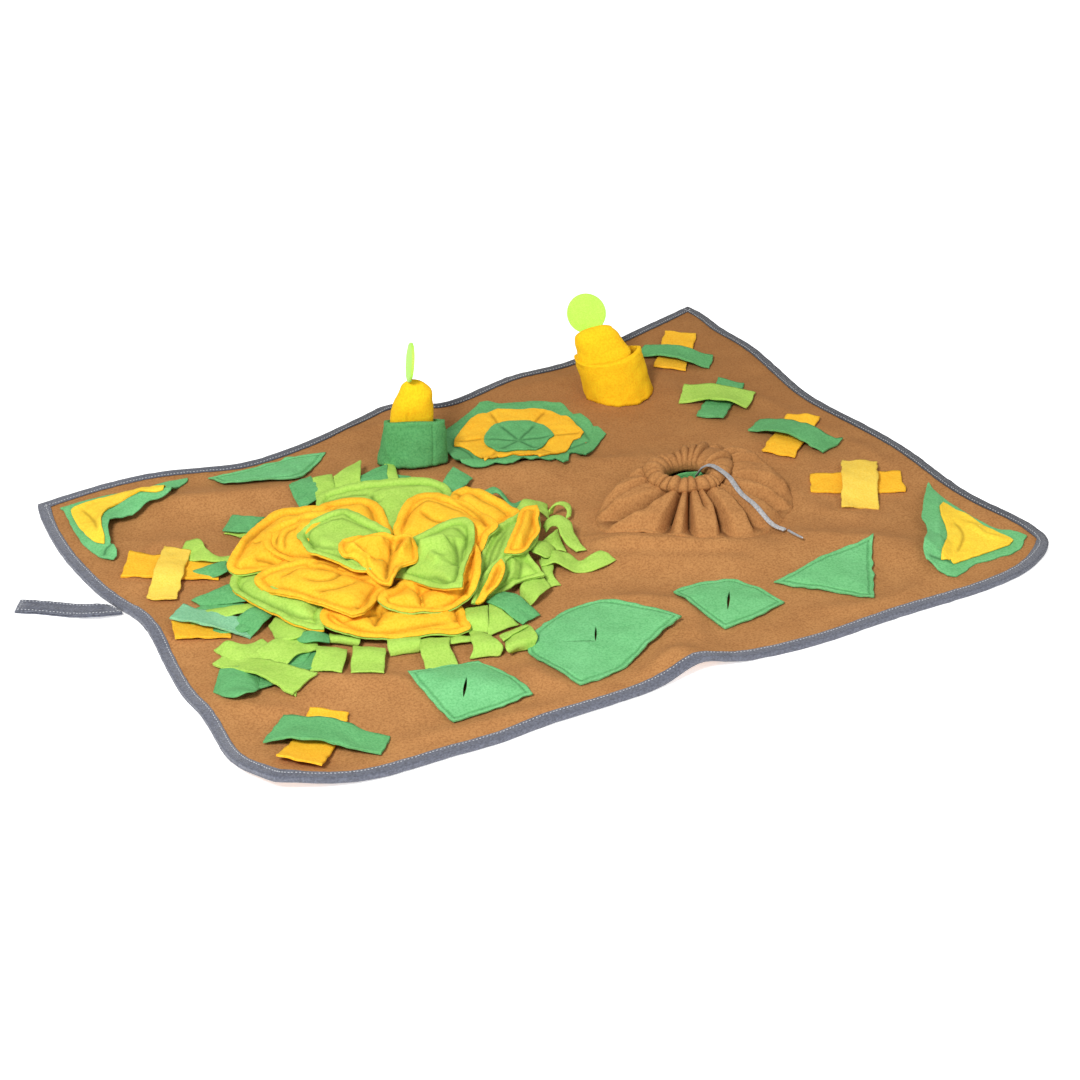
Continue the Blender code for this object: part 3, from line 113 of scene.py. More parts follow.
# petals: node, cloth on top, cloth beneath, direction the petal faces, cut edge (x, y, z),
# then its creases: height (valleys are negative), half width, line
LYING, STANDING = (-0.26, -0.43, 0.87), (-0.45, -0.74, 0.5)
PETALS = [
    ("petal_back", "lime", "yellow", LYING, (
        (-212, 142, 25), (-203, 156, 25), (-192, 163, 26), (-149, 147, 34), (-108, 134, 34), (-78, 119, 32),
        (-65, 105, 29), (-64, 90, 26), (-71, 77, 27), (-100, 54, 23), (-143, 45, 17), (-167, 41, 14), (-187, 59, 19),
        (-205, 111, 19),
    ), (
        (-2.2, 3, ((-198, 145, 25), (-175, 134, 30), (-151, 122, 34))),
        (-1.6, 3, ((-151, 122, 34), (-137, 123, 34), (-116, 117, 36), (-87, 109, 32), (-75, 98, 30), (-73, 85, 26))),
        (-3, 4, ((-150, 123, 34), (-154, 112, 33), (-151, 101, 27))),
    )),
    ("petal_left", "yellow", "lime", LYING, (
        (-358, 74, 20), (-347, 90, 23), (-331, 103, 28), (-298, 132, 25), (-270, 147, 26), (-251, 149, 28),
        (-234, 142, 28), (-218, 126, 31), (-207, 94, 28), (-213, 59, 21), (-238, 23, 19), (-282, 19, 24),
        (-296, 41, 22), (-329, 46, 22), (-356, 59, 20),
    ), (
        (-1.6, 3, (
            (-343, 83, 20), (-334, 90, 29), (-302, 119, 25), (-271, 134, 26), (-245, 128, 28), (-231, 118, 27))),
        (-2.5, 4, ((-328, 68, 23), (-316, 61, 23), (-304, 50, 22))),
        (-2, 4, ((-315, 98, 26), (-306, 95, 23))),
        (-1.6, 3, ((-346, 65, 21), (-324, 55, 22), (-305, 52, 22))),
    )),
    ("petal_back_right", "yellow", "lime", LYING, (
        (-81, 59, 37), (-66, 71, 36), (-50, 76, 34), (-46, 55, 39), (-42, 35, 41), (-31, 18, 34), (-25, -3, 31),
        (-45, -16, 29), (-62, -23, 32), (-88, -33, 28), (-126, 3, 22), (-123, 44, 27),
    ), (
        (-2, 3, ((-79, 62, 37), (-67, 63, 36), (-59, 49, 39), (-55, 24, 43), (-44, 8, 35), (-38, -7, 29))),
        (-2, 4, ((-78, 43, 40), (-73, 4, 42), (-63, -8, 33))),
    )),
    ("petal_front_left", "lime", "yellow", LYING, (
        (-365, 53, 14), (-357, 63, 14), (-330, 63, 15), (-310, 57, 15), (-286, 15, 19), (-268, -34, 19),
        (-280, -73, 15), (-313, -71, 24), (-327, -98, 21), (-336, -91, 21), (-352, -72, 25), (-361, -37, 23),
        (-368, 0, 20), (-371, 31, 16),
    ), (
        (-2, 3, ((-351, 37, 18), (-357, 40, 17), (-363, 15, 22), (-354, -23, 24), (-343, -60, 26), (-324, -81, 22))),
    )),
    ("petal_front", "yellow", "lime", LYING, (
        (-319, -77, 26), (-308, -72, 27), (-300, -78, 26), (-297, -93, 27), (-280, -75, 25), (-247, -66, 19),
        (-212, -58, 14), (-180, -92, 15), (-174, -125, 15), (-182, -155, 16), (-188, -170, 15), (-197, -171, 13),
        (-227, -162, 17), (-269, -143, 16), (-295, -128, 18), (-314, -115, 23), (-323, -96, 23), (-321, -82, 23),
    ), (
        (-4.5, 5, ((-248, -88, 19), (-265, -107, 20), (-277, -120, 19))),
        (-1.6, 3, (
            (-311, -83, 26), (-304, -105, 23), (-285, -125, 21), (-264, -134, 19), (-234, -144, 19), (-195, -150, 12))),
        (-1.6, 3, ((-195, -150, 12), (-187, -143, 13), (-183, -131, 15))),
        (-3, 6, ((-255, -93, 19), (-269, -98, 21), (-279, -101, 21))),
    )),
    ("petal_left_mid", "yellow", "yellow", LYING, (
        (-308, 81, 28), (-302, 94, 30), (-289, 109, 30), (-274, 112, 33), (-258, 107, 37), (-244, 92, 47),
        (-222, 88, 46), (-209, 39, 42), (-209, 4, 20), (-240, -29, 23), (-262, -16, 31), (-276, 9, 31),
        (-292, 27, 29), (-301, 51, 25), (-309, 69, 28),
    ), (
        (-2.2, 3.5, ((-299, 70, 31), (-292, 85, 32), (-279, 99, 32), (-268, 96, 37), (-251, 98, 34))),
        (-2, 3.5, ((-294, 60, 31), (-285, 76, 32), (-274, 84, 32), (-263, 81, 34))),
        (-1.5, 3, ((-304, 71, 29), (-294, 50, 29), (-280, 29, 31), (-268, 11, 31))),
    )),
    ("petal_back_left_mid", "yellow", "lime", LYING, (
        (-229, 121, 35), (-221, 116, 38), (-205, 125, 34), (-183, 118, 37), (-164, 116, 33), (-158, 101, 34),
        (-159, 82, 33), (-161, 65, 25), (-168, 40, 22), (-190, 16, 24), (-209, 29, 27), (-225, 58, 31),
        (-234, 97, 32),
    ), (
        (-1.8, 3, (
            (-227, 105, 38), (-212, 105, 38), (-187, 103, 38), (-172, 103, 33), (-171, 87, 35), (-179, 59, 35),
            (-178, 50, 31))),
        (-2, 3, ((-251, 108, 32), (-229, 100, 36), (-209, 97, 39))),
    )),
    ("petal_back_right_mid", "yellow", "lime", LYING, (
        (-171, 27, 28), (-153, 51, 37), (-132, 69, 41), (-114, 78, 40), (-97, 74, 40), (-90, 49, 45), (-81, 29, 45),
        (-78, 24, 45), (-75, 1, 43), (-78, -38, 51), (-79, -46, 50), (-95, -54, 46), (-111, -67, 38), (-128, -69, 32),
        (-148, -36, 22), (-162, 4, 22),
    ), (
        (-1.8, 3, ((-163, 26, 35), (-141, 49, 38), (-124, 53, 44), (-110, 50, 44), (-100, 28, 45), (-91, 6, 44))),
        (-2.5, 3.5, ((-130, 42, 41), (-126, 17, 41), (-117, 5, 41))),
        (-1.8, 3, ((-88, 37, 44), (-80, 11, 42), (-87, -30, 49), (-92, -43, 49))),
    )),
    ("petal_front_left_mid", "yellow", "yellow", LYING, (
        (-351, 18, 26), (-339, 32, 26), (-323, 32, 30), (-303, 26, 32), (-289, 18, 36), (-281, -3, 41),
        (-261, -13, 32), (-244, -31, 29), (-241, -57, 34), (-229, -65, 25), (-247, -78, 26), (-270, -99, 31),
        (-287, -111, 34), (-298, -111, 34), (-304, -97, 34), (-317, -86, 40), (-326, -56, 34), (-341, -35, 35),
        (-348, -1, 25),
    ), (
        (-2.6, 3.5, ((-329, -3, 32), (-304, 2, 33), (-285, -5, 33), (-264, -23, 31), (-248, -54, 35))),
        (-2.6, 3.5, ((-312, -52, 39), (-294, -60, 40), (-275, -59, 39), (-263, -55, 38))),
        (-2, 3, ((-310, -23, 34), (-291, -41, 39), (-263, -25, 30))),
        (-1.6, 3, (
            (-346, 11, 25), (-334, -20, 32), (-319, -56, 38), (-296, -91, 34), (-280, -97, 34), (-255, -73, 28),
            (-237, -62, 25))),
        (-2, 3, ((-288, 5, 33), (-269, -6, 31), (-256, -22, 31))),
    )),
    ("petal_front_right_mid", "yellow", "lime", LYING, (
        (-256, -91, 33), (-248, -86, 36), (-231, -78, 31), (-209, -63, 27), (-196, -76, 27), (-177, -87, 27),
        (-166, -94, 31), (-160, -108, 41), (-144, -85, 43), (-130, -70, 48), (-121, -67, 48), (-123, -79, 48),
        (-148, -123, 45), (-163, -134, 33), (-178, -136, 27), (-194, -136, 24), (-226, -129, 27), (-245, -116, 28),
        (-256, -108, 32), (-257, -96, 32),
    ), (
        (-5.5, 4, ((-198, -76, 27), (-207, -99, 28), (-217, -120, 28))),
        (-1.6, 3, (
            (-253, -104, 35), (-234, -112, 28), (-207, -127, 28), (-183, -129, 32), (-170, -125, 37),
            (-149, -104, 44), (-134, -82, 48))),
    )),
    ("petal_inner_left", "lime", "yellow", LYING, (
        (-274, 66, 39), (-257, 73, 44), (-238, 74, 49), (-222, 70, 54), (-208, 73, 48), (-202, 46, 50),
        (-192, 30, 45), (-187, 9, 44), (-201, -5, 33), (-243, -52, 43), (-253, -50, 44), (-263, -35, 45),
        (-271, -18, 47), (-280, 0, 48), (-286, 14, 47), (-281, 38, 44),
    ), (
        (-1.7, 2.6, (
            (-280, 27, 51), (-266, 53, 41), (-253, 55, 47), (-230, 50, 55), (-223, 47, 54), (-212, 34, 49),
            (-203, 17, 46))),
        (-1.4, 3, ((-273, 49, 45), (-273, 13, 53), (-259, -5, 53))),
        (-1.6, 2.6, ((-281, 22, 50), (-276, 6, 51), (-263, -8, 46), (-257, -24, 45))),
    )),
    ("petal_inner_right", "lime", "yellow", LYING, (
        (-163, 5, 33), (-145, -1, 40), (-123, 2, 42), (-107, -10, 49), (-104, -28, 56), (-107, -41, 55),
        (-115, -56, 49), (-136, -87, 57), (-154, -105, 56), (-170, -126, 54), (-181, -143, 51), (-192, -127, 44),
        (-198, -96, 34), (-205, -69, 30), (-214, -51, 27), (-201, -39, 29), (-185, -29, 35),
    ), (
        (-2, 2.8, (
            (-160, -11, 35), (-141, -10, 39), (-123, -18, 47), (-121, -37, 55), (-121, -48, 49), (-136, -64, 45),
            (-165, -103, 55), (-180, -122, 49), (-186, -91, 36), (-201, -65, 33))),
        (6.5, 9, ((-175, -38, 37), (-164, -45, 39), (-150, -47, 41), (-141, -47, 44))),
        (-5.5, 7, ((-133, -43, 45), (-153, -80, 54), (-164, -92, 49))),
        (3, 6, ((-172, -59, 39), (-169, -80, 48))),
    )),
    ("petal_centre", "yellow", "yellow", LYING, (
        (-258, -5, 56), (-249, 3, 56), (-239, -1, 58), (-223, 3, 52), (-210, 3, 52), (-200, -1, 53), (-188, -7, 47),
        (-178, -8, 47), (-172, -11, 46), (-173, -25, 42), (-181, -44, 41), (-191, -57, 42), (-205, -56, 40),
        (-220, -69, 46), (-231, -80, 46), (-238, -86, 41), (-245, -77, 41), (-248, -67, 42), (-249, -52, 43),
        (-249, -39, 47), (-252, -25, 48), (-261, -22, 52), (-262, -16, 55),
    ), (
        (-5, 3.5, ((-192, -8, 47), (-205, -28, 48), (-217, -44, 45), (-232, -65, 46), (-240, -76, 41))),
        (-4.5, 4, ((-239, -24, 56), (-229, -36, 56), (-212, -38, 52))),
        (4.5, 6, ((-252, -9, 55), (-246, -32, 55), (-242, -47, 47))),
        (4.5, 6, ((-206, -45, 46), (-192, -34, 47), (-175, -15, 44))),
        (3.5, 6, ((-240, 0, 55), (-222, -12, 55), (-206, -14, 52))),
        (-3.5, 3, ((-200, -29, 47), (-187, -15, 47), (-178, -12, 47))),
    )),
    ("petal_right_fold", "lime", "lime", STANDING, (
        (-10, -18, 40), (-20, -14, 40), (-38, -21, 40), (-72, -34, 40), (-94, -52, 39), (-117, -76, 37),
        (-132, -96, 34), (-142, -114, 30), (-154, -125, 24), (-158, -133, 19), (-145, -130, 22), (-131, -116, 28),
        (-109, -103, 32), (-88, -89, 35), (-68, -88, 33), (-27, -52, 34),
    ), (
        (-2, 3, ((-55, -33, 38), (-91, -61, 37), (-116, -89, 33), (-134, -111, 29))),
        (-1.5, 3, ((-67, -45, 37), (-91, -71, 35), (-115, -96, 32))),
    )),
    ("petal_right_fold", "yellow", "lime", STANDING, (
        (-27, -19, 44), (-13, -22, 44), (-19, -36, 44), (-29, -50, 43), (-36, -66, 42), (-59, -84, 40),
        (-75, -94, 38), (-93, -86, 39), (-72, -64, 42), (-54, -46, 44),
    ), (
        (2.5, 5, ((-26, -29, 44), (-48, -54, 43), (-73, -80, 41))),
        (-1.6, 3, ((-25, -36, 43), (-45, -61, 42), (-71, -87, 40))),
    )),
    ("petal_right_fold", "lime", "lime", STANDING, (
        (-89, -76, 32), (-69, -84, 31), (-63, -81, 30), (-64, -100, 25), (-66, -125, 20), (-89, -117, 18),
        (-105, -120, 17), (-122, -123, 15), (-140, -125, 13), (-129, -115, 17), (-114, -110, 23), (-100, -97, 28),
    ), (
        (-2.5, 5, ((-71, -88, 29), (-81, -101, 24), (-92, -116, 19))),
        (2, 6, ((-81, -82, 28), (-97, -104, 24), (-112, -118, 20))),
    )),
    ("petal_right_sliver", "lime", "lime", STANDING, (
        (-105, -96, 41), (-105, -103, 40), (-112, -116, 38), (-127, -127, 32), (-147, -135, 25), (-158, -136, 21),
        (-164, -135, 22), (-156, -127, 27), (-141, -115, 32), (-130, -108, 37), (-119, -103, 40),
    ), ()),
    ("petal_right_sliver", "yellow", "yellow", STANDING, (
        (-108, -103, 43), (-111, -114, 42), (-121, -127, 38), (-131, -134, 34), (-144, -137, 29), (-158, -141, 24),
        (-162, -140, 24), (-143, -128, 33), (-132, -119, 38), (-121, -111, 42),
    ), (
        (-1.5, 3, ((-115, -110, 41), (-132, -125, 36), (-148, -136, 31))),
    )),
]
# fringe tabs: cloth, left edge and right edge from root to tip (x, y, z)
TABS = [
    ("green", ((-223, 162, 13), (-219, 186, 15), (-214, 212, 17)),
     ((-187, 175, 17), (-186, 193, 20), (-176, 230, 12))),
    ("lime", ((-201, 165, 16), (-193, 186, 19), (-184, 209, 20)),
     ((-172, 169, 18), (-167, 185, 21), (-157, 211, 18))),
    ("lime", ((-173, 168, 19), (-170, 178, 24), (-164, 192, 27)),
     ((-142, 166, 19), (-134, 182, 28), (-113, 220, 22))),
    ("green", ((-142, 166, 19), (-140, 172, 22), (-135, 183, 22)),
     ((-111, 156, 20), (-102, 174, 22), (-90, 196, 21))),
    ("lime", ((-109, 164, 20), (-101, 181, 21), (-85, 212, 13)), ((-97, 155, 22), (-89, 176, 21), (-74, 211, 12))),
    ("green", ((-114, 158, 18), (-108, 167, 18), (-101, 180, 16)), ((-84, 148, 18), (-82, 152, 18), (-79, 159, 18))),
    ("green", ((-58, 122, 18), (-45, 131, 22), (-29, 144, 23)), ((-57, 97, 15), (-39, 104, 18), (-16, 120, 16))),
    ("green", ((-26, 75, 23), (-16, 66, 29), (-11, 57, 23), (-7, 43, 16), (10, 48, 12)),
     ((-27, 61, 23), (-21, 53, 29), (-16, 43, 23), (-11, 32, 16), (7, 38, 12))),
    ("green", ((-268, 168, 13), (-284, 177, 15), (-294, 199, 9)), ((-298, 145, 13), (-311, 152, 15), (-319, 173, 8))),
    ("lime", ((-272, 166, 10), (-297, 164, 10), (-318, 171, 5)), ((-300, 145, 10), (-305, 145, 10), (-306, 153, 5))),
    ("lime", ((-16, 16, 25), (-1, 26, 27), (13, 24, 23), (29, 23, 13)),
     ((-19, -4, 25), (-3, 4, 27), (5, 0, 23), (13, -7, 13))),
    ("lime", ((18, 4, 9), (22, 5, 17), (31, 2, 22), (40, -1, 17), (33, -13, 9)),
     ((27, 9, 9), (32, 10, 17), (39, 6, 22), (48, 3, 17), (41, -10, 9))),
    ("lime", ((-10, -39, 17), (-6, -42, 25), (-3, -51, 29), (-6, -66, 25), (-4, -75, 17), (3, -82, 9)),
     ((-7, -28, 17), (-1, -27, 25), (10, -34, 29), (17, -42, 25), (14, -63, 17), (14, -86, 10))),
    ("lime", ((-15, -66, 8), (-20, -60, 13), (-27, -59, 21)), ((-6, -76, 9), (-2, -58, 13), (0, -47, 21))),
    ("lime", ((-52, -97, 15), (-37, -103, 18), (-27, -114, 12), (-14, -119, 5), (6, -128, 10), (30, -124, 9)),
     ((-35, -68, 15), (-25, -80, 18), (-11, -86, 13), (-3, -100, 7), (10, -103, 12), (24, -101, 12))),
    ("lime", ((-55, -71, 23), (-52, -85, 26), (-45, -94, 23), (-29, -85, 15)),
     ((-52, -63, 23), (-40, -63, 26), (-27, -68, 23), (-18, -68, 15))),
    ("lime", ((-44, -80, 12), (-54, -103, 11), (-61, -128, 5)), ((-38, -99, 12), (-49, -119, 11), (-47, -129, 5))),
    ("lime", ((-61, -111, 13), (-78, -114, 15), (-94, -121, 13), (-98, -128, 5)),
     ((-66, -138, 13), (-80, -146, 15), (-93, -152, 13), (-99, -150, 5))),
    ("green", ((-146, -134, 17), (-140, -154, 19), (-136, -171, 15), (-128, -182, 8)),
     ((-119, -126, 17), (-111, -142, 19), (-107, -159, 15), (-102, -176, 8))),
    ("lime", ((-144, -137, 15), (-161, -165, 15), (-174, -184, 8)),
     ((-139, -144, 15), (-138, -165, 15), (-132, -180, 8))),
    ("lime", ((-160, -199, 6), (-171, -218, 15), (-174, -227, 14), (-166, -221, 5)),
     ((-123, -183, 6), (-129, -206, 15), (-134, -222, 14), (-141, -226, 5))),
    ("lime", ((-166, -196, 12), (-168, -204, 15), (-169, -210, 15)),
     ((-130, -192, 12), (-132, -197, 15), (-131, -198, 15))),
    ("lime", ((-186, -166, 10), (-198, -193, 15), (-203, -204, 12), (-210, -209, 5)),
     ((-173, -184, 10), (-174, -207, 15), (-173, -216, 12), (-179, -219, 5))),
    ("lime", ((-173, -135, 16), (-183, -157, 18), (-184, -167, 8)),
     ((-148, -141, 16), (-163, -167, 18), (-169, -178, 8))),
    ("lime", ((-342, -111, 12), (-350, -125, 15), (-361, -137, 10), (-367, -144, 5)),
     ((-318, -134, 12), (-325, -147, 15), (-338, -164, 14), (-345, -174, 10))),
    ("lime", ((-310, -132, 12), (-316, -145, 15), (-327, -161, 12), (-335, -177, 9)),
     ((-282, -154, 12), (-289, -167, 15), (-298, -181, 11), (-306, -195, 8))),
    ("lime", ((-267, -131, 11), (-276, -148, 14), (-279, -158, 9), (-279, -160, 5)),
     ((-236, -147, 11), (-245, -164, 14), (-248, -169, 9), (-249, -168, 5))),
    ("lime", ((-243, -157, 12), (-252, -176, 15), (-259, -197, 11), (-267, -220, 9)),
     ((-213, -171, 12), (-222, -187, 15), (-226, -206, 10), (-230, -223, 6))),
    ("lime", ((-319, -96, 12), (-324, -104, 12), (-326, -104, 7)),
     ((-296, -122, 12), (-300, -128, 12), (-301, -126, 7))),
    ("lime", ((-335, -97, 10), (-349, -83, 12), (-372, -79, 14), (-401, -85, 9), (-409, -93, 5)),
     ((-343, -115, 10), (-355, -116, 12), (-372, -119, 14), (-387, -124, 9), (-398, -109, 5))),
    ("green", ((-356, -91, 10), (-366, -100, 9), (-381, -117, 5)),
     ((-340, -105, 10), (-349, -112, 9), (-367, -128, 5))),
    ("green", ((-320, -96, 11), (-331, -93, 18), (-346, -85, 16), (-363, -67, 7)),
     ((-327, -111, 11), (-342, -110, 18), (-353, -103, 16), (-358, -82, 7))),
    ("lime", ((-327, -66, 14), (-338, -54, 17), (-348, -37, 15), (-366, -42, 8)),
     ((-339, -85, 14), (-357, -92, 17), (-367, -86, 15), (-370, -70, 8))),
    ("green", ((-357, -10, 13), (-371, -10, 15), (-384, -11, 12), (-397, -15, 5)),
     ((-356, -32, 13), (-367, -39, 15), (-380, -47, 12), (-390, -48, 5))),
    ("lime", ((-353, 0, 12), (-376, 8, 12), (-392, 14, 11), (-417, 22, 10), (-443, 28, 9)),
     ((-360, -19, 12), (-383, -7, 12), (-403, -4, 11), (-423, 1, 9), (-446, 4, 7))),
    ("green", ((-363, 54, 13), (-390, 49, 13), (-415, 50, 9)), ((-365, 10, 13), (-389, 22, 11), (-411, 36, 7))),
    ("green", ((-348, 103, 13), (-370, 103, 12), (-389, 111, 6)), ((-357, 78, 13), (-368, 78, 12), (-376, 87, 6))),
    ("lime", ((-340, 107, 13), (-353, 118, 12), (-357, 133, 13), (-356, 166, 8), (-366, 172, 5)),
     ((-345, 96, 13), (-360, 108, 12), (-370, 117, 13), (-378, 129, 8), (-389, 145, 5))),
    ("green", ((-366, -16, 9), (-389, -19, 9), (-401, 2, 7), (-433, 0, 5)),
     ((-370, -35, 9), (-394, -40, 9), (-411, -31, 7), (-431, -16, 4))),
    ("lime", ((-384, -63, 8), (-407, -68, 8), (-420, -55, 9), (-436, -53, 5)),
     ((-380, -89, 8), (-401, -99, 8), (-422, -98, 9), (-432, -84, 5))),
    ("lime", ((-408, -77, 7), (-405, -106, 8), (-396, -124, 9), (-376, -137, 5)),
     ((-419, -96, 7), (-415, -128, 9), (-413, -156, 13), (-403, -183, 10))),
    ("green", ((-416, -105, 6), (-426, -105, 11), (-436, -98, 10), (-446, -89, 5)),
     ((-424, -145, 8), (-446, -168, 19), (-463, -166, 18), (-472, -130, 8))),
    ("green", ((-370, 30, 8), (-393, 32, 8), (-412, 33, 8), (-428, 30, 8)),
     ((-368, 14, 8), (-391, 13, 7), (-412, 14, 6), (-420, 16, 6))),
    ("lime", ((-179, -181, 9), (-191, -176, 10), (-205, -169, 10), (-220, -163, 9)),
     ((-181, -189, 9), (-196, -185, 10), (-211, -180, 10), (-226, -173, 9))),
]

# small folds of the lying mat: height, half width and run of the crest
SMALL_FOLDS = [
    (5, 16, ((-450, 316), (-398, 307), (-331, 262), (-210, 217), (-160, 206))),
    (4, 16, ((-25, 168), (13, 133), (107, 117), (183, 72), (247, 54))),
    (6, 15, ((-6, -19), (28, -54), (80, -85), (123, -128), (156, -163), (202, -170))),
    (4, 14, ((192, -155), (247, -180), (299, -230), (354, -265))),
    (4, 20, ((2, -96), (62, -133), (125, -177), (177, -225))),
    (6, 15, ((-51, -158), (3, -202), (44, -233), (39, -272), (16, -309))),
    (4, 13, ((82, -220), (46, -250), (22, -296))),
    (5, 15, ((-472, 53), (-467, -11), (-418, -50), (-399, -100))),
    (5, 14, ((-385, -134), (-346, -177), (-307, -197), (-275, -229))),
    (4, 13, ((-472, -141), (-444, -181), (-400, -210))),
    (4, 14, ((-366, -305), (-255, -323), (-198, -333), (-142, -343))),
    (4, 12, ((-169, -242), (-165, -278), (-149, -315))),
    (5, 14, ((-86, -338), (-36, -322), (-1, -319))),
    (4, 16, ((-437, 186), (-375, 181), (-334, 129))),
    (3.5, 14, ((389, 202), (417, 115), (433, 5), (449, -119))),
    (3, 16, ((123, 321), (241, 308), (313, 308))),
    (4, 15, ((-106, 311), (-30, 317), (20, 326))),
    (4, 14, ((149, -313), (226, -343), (317, -339))),
    (3, 14, ((311, -32), (310, -137), (370, -217))),
    (13, 12, ((23, -60), (56, -93), (91, -123), (124, -146), (167, -164), (210, -169))),
]

